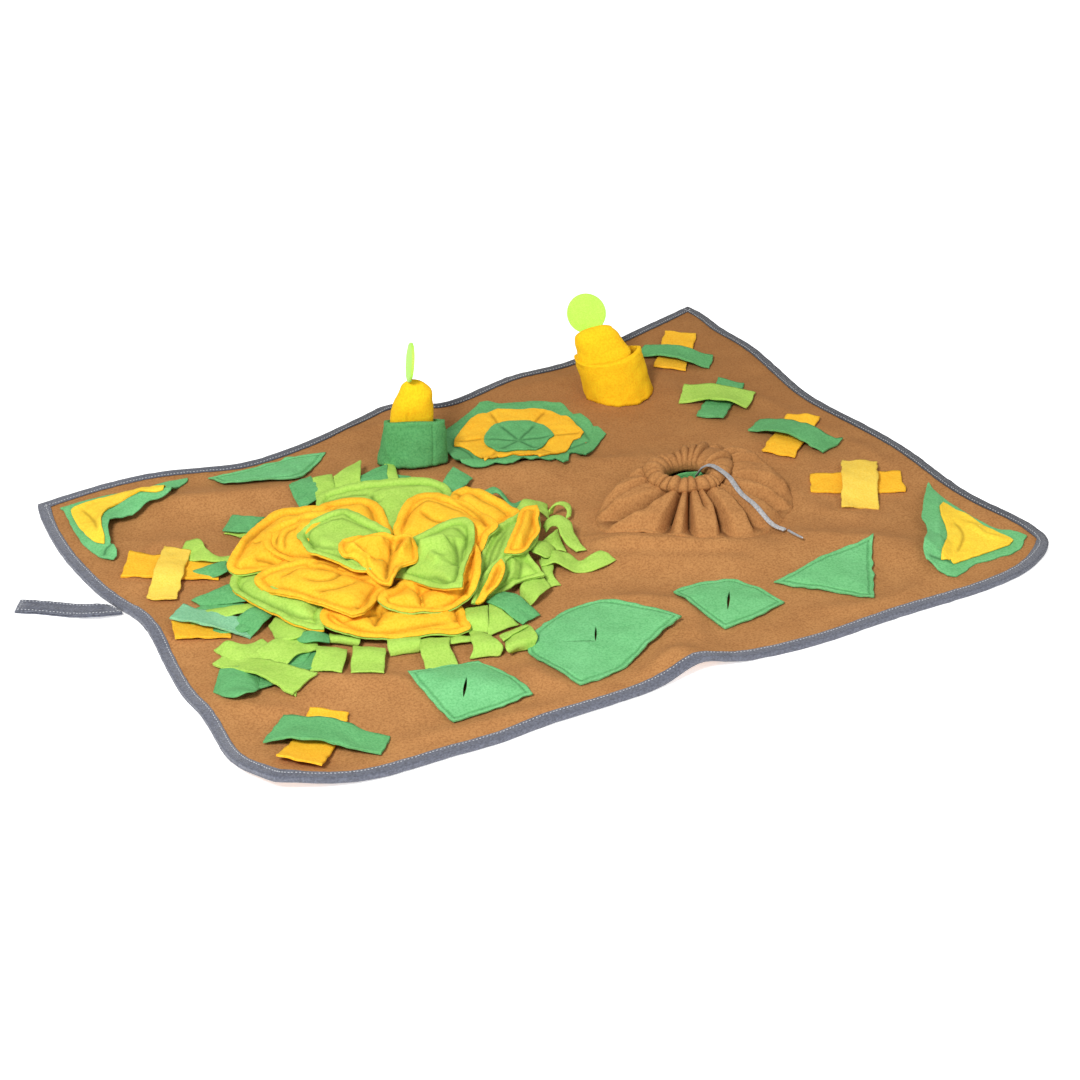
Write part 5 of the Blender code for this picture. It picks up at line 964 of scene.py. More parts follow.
def run_through(points, pitch, closed=False, sharp=0.45):
    """Smooth line through points; a closed one keeps its corners where the cosine of the turn is under sharp."""
    p = np.array(points, float)
    n = len(p)
    back, ahead = np.roll(p, 1, axis=0), np.roll(p, -1, axis=0)
    if not closed:
        back[0], ahead[-1] = 2 * p[0] - p[1], 2 * p[-1] - p[-2]
    before, after = unit(p - back), unit(ahead - p)
    corner = (before * after).sum(axis=1) < sharp
    out = []
    for i in range(n if closed else n - 1):
        j = (i + 1) % n
        a, b = p[i], p[j]
        long = np.linalg.norm(b - a)
        leave = after[i] if corner[i] and closed else unit(before[i] + after[i])
        reach = after[i] if corner[j] and closed else unit(before[j] + after[j])
        for t in np.linspace(0, 1, max(2, int(round(long / pitch)) + 1))[:-1]:
            out.append(a * (2 * t ** 3 - 3 * t ** 2 + 1) + b * (3 * t ** 2 - 2 * t ** 3)
                       + leave * long * (t ** 3 - 2 * t ** 2 + t) + reach * long * (t ** 3 - t ** 2))
    if not closed:
        out.append(p[-1])
    return np.array(out)


def spline_height(known, heights, at, slack):
    """Height of a springy sheet that rests on a few known points."""
    def pull(a, b):
        gap = np.linalg.norm(a[:, None] - b[None], axis=2) + 1e-9
        return gap * gap * np.log(gap)

    n = len(known)
    flat = np.column_stack([np.ones(n), known])
    system = np.block([[pull(known, known) + np.eye(n) * slack, flat], [flat.T, np.zeros((3, 3))]])
    solved = np.linalg.solve(system, np.r_[heights, 0, 0, 0])
    return pull(at, known) @ solved[:n] + np.column_stack([np.ones(len(at)), at]) @ solved[n:]


def line_distance(at, line):
    """Distance from points to a line of points, and the share of the line run there."""
    best, share = np.full(len(at), 1e9), np.zeros(len(at))
    steps = np.linalg.norm(np.diff(line, axis=0), axis=1)
    total, done = steps.sum(), 0.0
    for a, b, long in zip(line[:-1], line[1:], steps):
        t = np.clip(((at - a) @ (b - a)) / max(long * long, 1e-9), 0, 1)
        gap = np.linalg.norm(at - (a + t[:, None] * (b - a)), axis=1)
        closer = gap < best
        best[closer] = gap[closer]
        share[closer] = ((done + t * long) / total)[closer]
        done += long
    return best, share


def new_mesh(name, verts, faces, fields=()):
    """Object from points in mm, with the numbers that its material reads at each point."""
    mesh = bpy.data.meshes.new(name)
    mesh.from_pydata((np.asarray(verts) * MM).tolist(), [], faces)
    mesh.update()
    for key, values in dict(fields).items():
        mesh.attributes.new(key, "FLOAT", "POINT").data.foreach_set("value", np.asarray(values, np.float32))
    obj = bpy.data.objects.new(name, mesh)
    bpy.context.scene.collection.objects.link(obj)
    return obj


def point_normals(verts, faces):
    """Normals of a triangle mesh at its points."""
    verts, faces = np.asarray(verts), np.asarray(faces)
    each = np.cross(verts[faces[:, 1]] - verts[faces[:, 0]], verts[faces[:, 2]] - verts[faces[:, 0]])
    total = np.zeros_like(verts)
    for k in range(3):
        np.add.at(total, faces[:, k], each)
    return unit(total)


def ring_quads(first, second):
    """Faces between two closed rows of points."""
    return np.column_stack([first, second, np.roll(second, -1), np.roll(first, -1)]).tolist()


def double_cloth(name, outline, creases, look, half, crown, seam, pitch, seed, base=None):
    """Two cloths sewn together inside their cut edge: padded middle, seam, creases and a two-layer rim.

    With no crown it is one cloth, which lies over base.
    """
    look = unit(look)
    across = unit(np.cross((0.3, 0.9, 0.1), look))
    plane = np.column_stack([across, np.cross(look, across)])
    given = np.array(outline, float)
    rim = run_through(given, pitch, closed=True, sharp=0.45 if crown else 0.9)
    flat = rim @ plane
    flat += np.column_stack([ripple(rim * MM, 13, seed + k) for k in (5, 6)]) * (0.45 if crown else 0.35)
    area = 0.5 * np.sum(flat[:, 0] * np.roll(flat[:, 1], -1) - np.roll(flat[:, 0], -1) * flat[:, 1])
    if area < 0:
        rim, flat = rim[::-1], flat[::-1]
    low, high = flat.min(axis=0), flat.max(axis=0)
    inside = np.array([(x, y) for k, y in enumerate(np.arange(low[1], high[1], pitch * 0.87))
                       for x in np.arange(low[0] + (k % 2) * pitch / 2, high[0], pitch)])
    loop = np.vstack([flat, flat[:1]])
    inside = inside[line_distance(inside, loop)[0] > pitch * 0.6]
    border = [(k, (k + 1) % len(flat)) for k in range(len(flat))]
    verts, _, faces, origin, _, _ = delaunay_2d_cdt([Vector(p) for p in np.vstack([flat, inside])], border, [], 1, 1e-5)
    at = np.array([tuple(v) for v in verts])
    faces = np.array([tuple(f) for f in faces])
    made_from = {source: k for k, came in enumerate(origin) for source in came}
    ring = np.array([made_from[k] for k in range(len(flat))])
    height = spline_height(given @ plane, given @ look, at, 40.0 if crown else 4.0)
    place = at @ plane.T + height[:, None] * look
    if base:
        place[:, 2] = np.maximum(place[:, 2], 1.9) + [base(x, y) for x, y in place[:, :2]]
    normal = point_normals(place, faces)
    far, _ = line_distance(at, loop)
    fold, painted_crease_shade = np.zeros(len(at)), np.zeros(len(at))
    for depth, wide, line in creases:
        line = np.array(line, float)
        line = np.column_stack([line, np.zeros(len(line))]) if base else line
        gap, share = line_distance(at, run_through(line, 3.0) @ plane)
        fade = np.clip(5 * np.minimum(share, 1 - share) + 0.25, 0, 1)
        shape = np.exp(-gap / (wide * 1.25)) if depth < 0 else np.exp(-(gap / wide) ** 2)
        fold += depth * (2.3 if crown else 1.0) * shape * fade
        # valleys also get painted shade in their colour, kept in the crease field
        if depth < 0:
            painted_crease_shade = np.maximum(painted_crease_shade, np.exp(-(gap / 1.9) ** 2) * fade * min(1, 0.3 - depth / 4))
    fold *= step(far, -3.0, 6.0)
    soft = ripple(place * MM, 38, seed) * 1.1 + ripple(place * MM, 14, seed + 1) * 0.4
    groove = np.exp(-((far - seam) / 2.0) ** 2)
    if crown:
        puff = crown * step(far, seam + 0.5, seam + 14) + 1.0 * np.sin(np.pi * np.clip(far / seam, 0, 1))
        groove *= 2.3
    else:
        soft, puff, groove = soft * 0.6 * step(far, -2, 8), np.zeros(len(at)), groove * 0.5
        fold = np.maximum(fold, -1.4)
    top = place + normal * (half + fold + soft + puff - groove)[:, None]
    under = place + normal * (fold + soft - half - 0.2 * puff + (0.3 * groove if crown else -groove))[:, None]
    n, m = len(at), len(ring)
    tangent = np.roll(place[ring], -1, axis=0) - np.roll(place[ring], 1, axis=0)
    out = unit(np.cross(tangent, normal[ring]))
    rows = []
    for lift, proud in ((0.85, 0.9), (0.45, 1.2), (0.0, -0.5), (-0.45, 1.2), (-0.85, 0.9)):
        rows.append(place[ring] + normal[ring] * (half * lift + fold[ring] + soft[ring])[:, None] + out * proud)
    chain = [ring] + [2 * n + k * m + np.arange(m) for k in range(5)] + [ring + n]
    mesh_faces = faces.tolist() + (faces[:, [0, 2, 1]] + n).tolist()
    for a, b in zip(chain[:-1], chain[1:]):
        mesh_faces += ring_quads(a, b)
    fields = {"rim": np.r_[far, far, np.zeros(5 * m)] * MM,
              "layer": np.r_[np.ones(n), np.zeros(n), np.repeat((1, 1, 0.5, 0, 0), m)],
              "crease": np.r_[painted_crease_shade, np.zeros(n + 5 * m)]}
    return new_mesh(name, np.vstack([top, under] + rows), mesh_faces, fields)


def grid_sheet(grid, half, wrap=False, toward=None):
    """Points, faces and layer numbers of a thin closed cloth on a grid of points, row by row."""
    grid = np.asarray(grid, float)
    rows, cols = grid.shape[:2]
    if wrap:
        around = (np.roll(grid, -1, axis=1) - np.roll(grid, 1, axis=1)) / 2
    else:
        around = np.gradient(grid, axis=1)
    normal = unit(np.cross(around, np.gradient(grid, axis=0)))
    if toward is not None and (normal.reshape(-1, 3) * unit(toward)).sum() < 0:
        return grid_sheet(grid[:, ::-1], half, wrap)
    n = rows * cols
    flat, normals = grid.reshape(-1, 3), normal.reshape(-1, 3)
    verts = [flat + normals * half, flat - normals * half]
    layer = [np.ones(n), np.zeros(n)]
    index = np.arange(n).reshape(rows, cols)
    after = np.roll(index, -1, axis=1)
    last = cols if wrap else cols - 1
    corners = (index[:-1], after[:-1], after[1:], index[1:])
    quads = np.stack([part[:, :last] for part in corners], axis=-1).reshape(-1, 4)
    faces = quads.tolist() + (quads[:, [0, 3, 2, 1]] + n).tolist()
    if wrap:
        loops = [index[0], index[-1][::-1]]
    else:
        loops = [np.r_[index[0], index[1:, -1], index[-1, -2::-1], index[-2:0:-1, 0]]]
    base = 2 * n
    for loop in loops:
        tangent = np.roll(flat[loop], -1, axis=0) - np.roll(flat[loop], 1, axis=0)
        verts.append(flat[loop] + unit(np.cross(tangent, normals[loop])) * half * 0.5)
        layer.append(np.full(len(loop), 0.5))
        middle = base + np.arange(len(loop))
        faces += ring_quads(loop, middle) + ring_quads(middle, loop + n)
        base += len(loop)
    return np.vstack(verts), faces, np.concatenate(layer)


def sheet_area(grid, wrap=False):
    """Area of a grid of points in square metres."""
    grid = np.asarray(grid, float)
    if wrap:
        grid = np.concatenate([grid, grid[:, :1]], axis=1)
    a, b = grid[1:, 1:] - grid[:-1, :-1], grid[1:, :-1] - grid[:-1, 1:]
    return float(np.linalg.norm(np.cross(a, b), axis=2).sum() / 2) * MM * MM


def ribbon(left, right, seed, pitch=2.0, rough=0.5):
    """Grid of a tab of cloth from its two long edges, slightly cupped, with hand-cut edges."""
    ends = [run_through(np.array(edge, float), 1.0) for edge in (left, right)]
    long = max(len(e) for e in ends)
    rows = max(6, int(long / pitch))
    sides = []
    for edge in ends:
        run = np.r_[0, np.cumsum(np.linalg.norm(np.diff(edge, axis=0), axis=1))]
        at = np.linspace(0, run[-1], rows)
        sides.append(np.column_stack([np.interp(at, run, edge[:, k]) for k in range(3)]))
    wide = np.linalg.norm(sides[0] - sides[1], axis=1).mean()
    cols = max(5, int(wide / pitch))
    share = np.linspace(0, 1, cols)[None, :, None]
    grid = sides[0][:, None] * (1 - share) + sides[1][:, None] * share
    grid[..., 2] += np.sin(np.pi * share[..., 0])
    flat = grid.reshape(-1, 3)
    for k in range(3):
        flat[:, k] += ripple(flat * MM, 16, seed + k) * rough * (1.0 if k < 2 else 1.3)
    return flat.reshape(grid.shape)


SWELL = []
SWELL_PITCH, SWELL_LOW, SWELL_COUNT = 4.0, np.array([-640.0, -460.0]), (300, 240)


def swell(points):
    """Lift of the small folds at x, y in mm: they carry all that lies on them."""
    if not SWELL:
        xs, ys = np.meshgrid(*(np.arange(k) * SWELL_PITCH + low for k, low in zip(SWELL_COUNT, SWELL_LOW)),
                             indexing="ij")
        at = np.column_stack([xs.ravel(), ys.ravel()])
        total = np.zeros(len(at))
        for height, half, line in SMALL_FOLDS:
            gap, share = line_distance(at, run_through(np.array(line, float), 6.0))
            fade = np.clip(4 * np.minimum(share, 1 - share), 0, 1)
            total = np.maximum(total, height * np.exp(-(gap / half) ** 1.5) * (0.15 + 0.85 * fade))
        SWELL.append(total.reshape(xs.shape))
    grid = (np.asarray(points, float)[:, :2] - SWELL_LOW) / SWELL_PITCH
    i, j = np.clip(grid.astype(int), 0, np.array(SWELL_COUNT) - 2).T
    u, v = (grid - np.column_stack([i, j])).T
    table = SWELL[0]
    return ((table[i, j] * (1 - u) + table[i + 1, j] * u) * (1 - v)
            + (table[i, j + 1] * (1 - u) + table[i + 1, j + 1] * u) * v)


def heights_over(*nodes):
    """Function giving the highest of some CAD solids or finished pieces at x, y, in mm."""
    trees = [tree_of(NODES[node].data if node in NODES else node.data) for node in nodes]

    def height(x, y):
        hits = [hit_below(tree, x, y) for tree in trees]
        return max([0.0] + [hit.z / MM for hit in hits if hit is not None])

    return height


def step(values, low, high):
    """Smooth step from 0 to 1."""
    t = np.clip((values - low) / (high - low), 0, 1)
    return t * t * (3 - 2 * t)


def clear_loose(obj):
    """Takes out the points that no face uses."""
    bm = opened(obj.data)
    bmesh.ops.delete(bm, geom=[v for v in bm.verts if not v.link_faces], context="VERTS")
    write_back(bm, obj.data)


def finish_piece(obj, material, node, angle=60.0):
    """Paints and smooths the piece, rides it on the mat and hides its CAD solid."""
    clear_loose(obj)
    obj.data.materials.append(material)
    obj.data.polygons.foreach_set("material_index", np.zeros(len(obj.data.polygons), int))
    smooth(obj, angle)
    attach(obj, "root")
    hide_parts(node)


def finish_square(obj, material, node, angle=None):
    """Finishes a piece, as finish_piece does. Finishes a piece that is declared as one square of
    cloth, of which its area fills this share.
    """
    finish_piece(obj, material, node, angle)


def lay_patch(node, cloth):
    """A patch of fleece sewn on the sheet or on another patch, with its lifted edges and creases."""
    outline, creases = PATCHES[node]
    carriers = ["base_mat"]
    if node in PATCH_BELOW:
        outline = [(x, y, 0) for x, y, _ in outline]
        carriers.append(bpy.data.objects[PATCH_BELOW[node] + "_cloth"])
    obj = double_cloth(node + "_cloth", outline, creases, (0, 0, 1), PATCH_HALF, 0.0, NO_SEAM, 2.0, len(node),
                       heights_over(*carriers))
    finish_piece(obj, cloth_material(cloth), node)


def stitch_bead(long, thick):
    """Points and faces of one stitch in mm: a ball drawn out along the thread."""
    bpy.ops.object.select_all(action="DESELECT")
    bpy.ops.mesh.primitive_uv_sphere_add(segments=6, ring_count=5, radius=0.5 * MM)
    ball = bpy.context.object
    bpy.ops.object.mode_set(mode="EDIT")
    bpy.ops.mesh.select_all(action="SELECT")
    bpy.ops.transform.resize(value=(thick, thick, long))
    bpy.ops.object.mode_set(mode="OBJECT")
    verts = np.array([v.co for v in ball.data.vertices]) / MM
    faces = [tuple(p.vertices) for p in ball.data.polygons]
    bpy.data.objects.remove(ball)
    return verts, faces


def sew(name, spots, thread, long=2.1, thick=0.95):
    """One row of stitches, each a copy of the bead at a spot: place and run of the thread, in mm."""
    bead, bead_faces = stitch_bead(long, thick)
    verts, faces = [], []
    for at, along in spots:
        along = unit(along)
        side = unit(np.cross(along, (0, 0, 1)))
        frame = np.column_stack([side, np.cross(side, along), along])
        faces += [tuple(k + len(verts) * len(bead) for k in face) for face in bead_faces]
        verts.append(at + bead @ frame.T)
    obj = new_mesh(name, np.vstack(verts), faces)
    obj.data.materials.append(shared(thread_material, "polyester_thread", thread))
    smooth(obj)
    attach(obj, "root")
    return obj


def edge_spots(fields, inset, pitch, seed=1):
    """Spots for stitches that run beside the cut edge of a piece, on its upper face."""
    points, lengths = fields.rims[0]
    line, run = np.array(points) / MM, np.array(lengths) / MM
    tree = tree_of(fields.obj.data)
    rng = np.random.default_rng(seed)
    spots = []
    for run_at in np.arange(0, run[-1], pitch):
        k = int(np.searchsorted(run, run_at))
        along = line[(k + 5) % len(line)] - line[k - 5]
        inward = unit(np.array([-along[1], along[0], 0.0]))
        for turn in (1, -1):
            at = line[k] + inward * turn * (inset + rng.normal() * 0.2)
            hit = hit_below(tree, at[0], at[1])
            if hit is not None:
                spots.append((np.array(hit) / MM + (0, 0, 0.1), along))
                break
    return spots


RAGGED = 1.2                      # how uneven a raw cut edge is


def flat_cloth(node, cloth, seam=None, wave=0.5, shape=None):
    """A sewn-on piece of fleece: raw cut edge, seam inside it and soft waves."""
    obj = finer_copy(node, node + "_cloth", 3)
    fields = Fields(obj)
    seed = sum(map(ord, node))
    soft = ripple(fields.place, 26, seed) * wave * MM + ripple(fields.place, 9, seed + 1) * wave * 0.35 * MM
    offset = np.where(fields.side == TOP, soft, 0.0)
    if shape:
        offset += shape(fields)
    if seam:
        press = np.exp(-((fields.rim - seam * MM) / (1.3 * MM)) ** 2)
        offset -= np.where(fields.side == TOP, press * 0.7 * MM, 0.0)
    wander = np.column_stack([ripple(fields.place, 17, seed + k) for k in (2, 3)]) * RAGGED * MM
    fields.place[:, :2] += wander * np.exp(-fields.rim / (7 * MM))[:, None]
    curl = np.maximum(ripple(fields.place, 30, seed + 5), -0.2) * np.exp(-fields.rim / (6 * MM)) * RAGGED * 1.1 * MM
    fields.place[:, 2] += curl + 0.2 * MM * RAGGED
    fields.move(offset)
    fields.keep()
    finish_piece(obj, cloth_material(cloth, None, seam), node)


def look_at(obj, at, heading):
    """Places a camera or lamp that looks along a heading."""
    bpy.context.scene.collection.objects.link(obj)
    obj.location = at
    obj.rotation_mode = "QUATERNION"
    obj.rotation_quaternion = Vector(heading).to_track_quat("-Z", "Y")


# ================================================================ operators
class MAT_OT_studio(bpy.types.Operator):
    """Floor, lights and the camera of the photograph"""
    bl_idname = "mat.studio"
    bl_label = "Studio"

    def execute(self, context):
        scene = context.scene
        camera = bpy.data.cameras.new("photo_camera")
        camera.lens, camera.sensor_width = CAMERA_LENS, 36.0
        camera.clip_start, camera.clip_end = 0.1, 50.0
        eye = bpy.data.objects.new("photo_camera", camera)
        look_at(eye, CAMERA_AT, CAMERA_LOOK)
        scene.camera = eye

        bpy.ops.object.select_all(action="DESELECT")
        bpy.ops.mesh.primitive_grid_add(x_subdivisions=8, y_subdivisions=8, size=9.0, location=(0, 0, 0))
        floor = context.object
        floor.name = "floor"
        floor.location.z = -0.2 * MM
        material, tree, shader = new_material("white_paper_sweep", 0.9, Specular_IOR_Level=0.1)
        grain = noise(tree, place_in(tree), 1 / 3)
        tree.links.new(mix_colour(tree, grain, linear("FAFAFA"), linear("FFFFFF")), shader.inputs["Base Color"])
        shader.inputs["Emission Color"].default_value = linear("FFFFFF")
        shader.inputs["Emission Strength"].default_value = FLOOR_GLOW
        floor.data.materials.append(material)

        for name, (at, aim, size, power) in LIGHTS.items():
            light = bpy.data.lights.new(name, "AREA")
            light.energy, light.shape, light.size = power, "DISK", size
            look_at(bpy.data.objects.new(name, light), at, Vector(aim) - Vector(at))
        world = bpy.data.worlds.new("studio_white")
        scene.world = world
        world.use_nodes = True
        sky = world.node_tree.nodes["Background"].inputs
        sky["Color"].default_value = (1, 1, 1, 1)
        sky["Strength"].default_value = WORLD_GLOW
        scene.view_settings.view_transform = "Standard"
        return {"FINISHED"}


class MAT_OT_sheet(bpy.types.Operator):
    """Brown fleece sheet with its lying folds"""
    bl_idname = "mat.sheet"
    bl_label = "Sheet"

    def execute(self, context):
        obj = finer_copy("base_mat", "base_mat_cloth", 3)
        fields = Fields(obj)
        rise = ripple(fields.place, 70, 3) * 0.9 + ripple(fields.place, 24, 4) * 0.35
        offset = np.where(fields.side == TOP, rise * MM * step(fields.rim, 10 * MM, 30 * MM), 0.0)
        fields.move(offset)
        fields.keep()
        finish_piece(obj, cloth_material("brown"), "base_mat")
        return {"FINISHED"}


class MAT_OT_binding(bpy.types.Operator):
    """Woven tape folded over the edge, and the hanging loop"""
    bl_idname = "mat.binding"
    bl_label = "Edge tape and hanging loop"

    def execute(self, context):
        colours = context.scene.mat_colours
        pitch = context.scene.mat_sizes.stitch_pitch / MM
        for node, (levels, inset, flat, carrier) in TAPES.items():
            obj = finer_copy(node, node + "_tape", levels, crease=0.6)
            fields = Fields(obj)
            fields.move(ripple(fields.place, 14, 8) * 0.35 * MM)
            fields.keep()
            uv = obj.data.uv_layers.new(name="run")
            for loop in obj.data.loops:
                k = loop.vertex_index
                uv.data[loop.index].uv = (fields.run[k], fields.rim[k])
            stitches = sew(node + "_stitches", edge_spots(fields, inset, pitch), tuple(colours.thread))
            finish_piece(obj, woven_tape(node + "_weave", tuple(colours.tape)), node)
        return {"FINISHED"}


class MAT_OT_patches(bpy.types.Operator):
    """Leaves, slit pockets, corner pockets and target"""
    bl_idname = "mat.patches"
    bl_label = "Sewn patches"

    def execute(self, context):
        for node, cloth in FLAT_PIECES.items():
            if node in PATCHES:
                lay_patch(node, cloth)
            else:
                flat_cloth(node, cloth, seam=POCKET_SEAM)
        return {"FINISHED"}


class MAT_OT_strips(bpy.types.Operator):
    """Crossed strips round the edge"""
    bl_idname = "mat.strips"
    bl_label = "Crossed strips"

    def execute(self, context):
        for pair, (under, over) in STRIPS.items():
            flat_cloth(pair + "_under", under)
            flat_cloth(pair + "_over", over)
        return {"FINISHED"}


class MAT_OT_fringe(bpy.types.Operator):
    """Loose tabs round the flower"""
    bl_idname = "mat.fringe"
    bl_label = "Fringe"

    def execute(self, context):
        for node, wanted in (("fringe_green", "green"), ("fringe_lime", "lime")):
            verts, faces, layer, count, area = [], [], [], 0, 0.0
            for seed, (cloth, left, right) in enumerate(TABS):
                if cloth != wanted:
                    continue
                grid = ribbon(left, right, seed * 5)
                area += sheet_area(grid)
                tab_verts, tab_faces, tab_layer = grid_sheet(grid, 1.0, toward=STANDING)
                faces += [[k + count for k in face] for face in tab_faces]
                verts.append(tab_verts)
                layer.append(tab_layer)
                count += len(tab_verts)
            obj = new_mesh(node + "_cloth", np.vstack(verts), faces, {"layer": np.concatenate(layer)})
            finish_square(obj, cloth_material(wanted), node, angle=70)
        return {"FINISHED"}


class MAT_OT_petals(bpy.types.Operator):
    """Padded double petals, sewn inside their edges"""
    bl_idname = "mat.petals"
    bl_label = "Flower petals"

    def execute(self, context):
        sizes = context.scene.mat_sizes
        pitch = 2.0
        for seed, (node, upper, under, look, outline, creases) in enumerate(PETALS):
            small = node == "petal_centre" or look == STANDING
            half, share = (SMALL_PETAL_HALF, 0.5) if small else (PETAL_HALF, 1.0)
            seam = sizes.seam_inset / MM * share
            obj = double_cloth(f"{node}_cloth_{seed}", outline, creases, look, half, sizes.pad_rise / MM * share, seam,
                               pitch, seed * 7 + 3)
            obj.data.transform(Matrix.Translation((0, 0, PETAL_LIFT.get(node, 0) * MM)))
            finish_piece(obj, cloth_material(upper, under if under != upper else None, seam), node, angle=None)
        return {"FINISHED"}


class MAT_OT_pots(bpy.types.Operator):
    """Cloth pots and the carrots in them"""
    bl_idname = "mat.pots"
    bl_label = "Pots and carrots"

    def execute(self, context):
        for node, cloth in (("pot_green", "deep"), ("pot_yellow", "gold")):
            flat_cloth(node, cloth, wave=0.8, shape=pot_shape)
        for node, rows in CARROTS.items():
            obj = stuffed_cone(node + "_cloth", rows, CARROT_SEAMS[node])
            finish_piece(obj, cloth_material("gold"), node)
        for node in ("carrot_left_leaf", "carrot_right_leaf"):
            obj = finer_copy(node, node + "_felt", 2, crease=0.9)
            fields = Fields(obj)
            middle = fields.place.mean(axis=0)
            if node == "carrot_right_leaf":
                fields.place = middle + (fields.place - middle) * 1.08 - (0, 0, 1.2 * MM)
            else:
                off = (fields.place - middle)[:, :2] @ ACROSS
                fields.place[:, :2] -= 2.4 * off[:, None] * ACROSS
                obj.data.flip_normals()
            fields.write()
            fields.keep()
            finish_piece(obj, shared(felt, "lime_felt", "C2FF62", "ACEE4E"), node)
        return {"FINISHED"}


def pot_shape(fields):
    """Rim of a pot lower at the back, its hem line and its side seam."""
    place = fields.place / MM
    middle = place[:, :2].mean(axis=0)
    away, across = (place[:, :2] - middle) @ AWAY, (place[:, :2] - middle) @ ACROSS
    around = np.arctan2(away, across)
    marks = np.linspace(-math.pi, math.pi, 49)
    rims = [place[np.abs(around - m) < 0.14, 2].max() for m in marks]
    below = np.interp(around, marks, rims) - place[:, 2]
    place[:, 2] -= step(-below, -26, -1) * np.clip(away / 20, 0, 1.2) * 8
    fields.place = place * MM
    hem = np.exp(-((below - 7) / 1.3) ** 2)
    if middle[0] < 0:
        hem += 1.6 * np.exp(-((across - 25) / 1.2) ** 2) * (away < 0)
    return np.where(fields.side == TOP, -0.9 * hem, 0.0) * MM


def tube_faces(rows, count):
    """Faces of a closed tube of rings of count points, with its two ends."""
    index = np.arange(rows * count).reshape(rows, count)
    faces = [index[0].tolist(), index[-1, ::-1].tolist()]
    for first, second in zip(index[:-1], index[1:]):
        faces += ring_quads(first, second)
    return faces


def stuffed_cone(name, rows, seam):
    """Stuffed cone of cloth from its rings, with its overlapping side seam."""
    rows = np.array(rows, float)
    tip, end = rows[0].copy(), rows[-1].copy()
    tip[2:] += (0.9, 0.2 - tip[3], 0.1 - tip[4])
    end[2:] += (-2.5, -9.0, -9.0)
    rows = run_through(np.vstack([tip, rows, end]), 3.0)
    count = 72
    turns = np.linspace(0, 2 * math.pi, count, endpoint=False)
    verts = []
    for x, y, z, half, deep in rows:
        across, away = half * np.cos(turns), deep * np.sin(turns)
        lap = np.where((away < 0) & (across < seam), np.exp((across - seam) / 9), 0) * 1.4
        lap -= 1.2 * np.exp(-np.abs(across - seam) / 1.0) * (away < 0)
        spread = 1 + lap * step(half, 6, 16) / max(deep, 4)
        xy = (x, y) + np.outer(across * spread, ACROSS) + np.outer(away * spread, AWAY)
        verts.append(np.column_stack([xy, np.full(count, z)]))
    verts = np.vstack(verts)
    verts += unit(verts - verts.mean(axis=0)) * (ripple(verts * MM, 30, 4) * 0.8)[:, None]
    obj = new_mesh(name, verts, tube_faces(len(rows), count))
    bm = opened(obj.data)
    bmesh.ops.recalc_face_normals(bm, faces=bm.faces)
    write_back(bm, obj.data)
    return obj


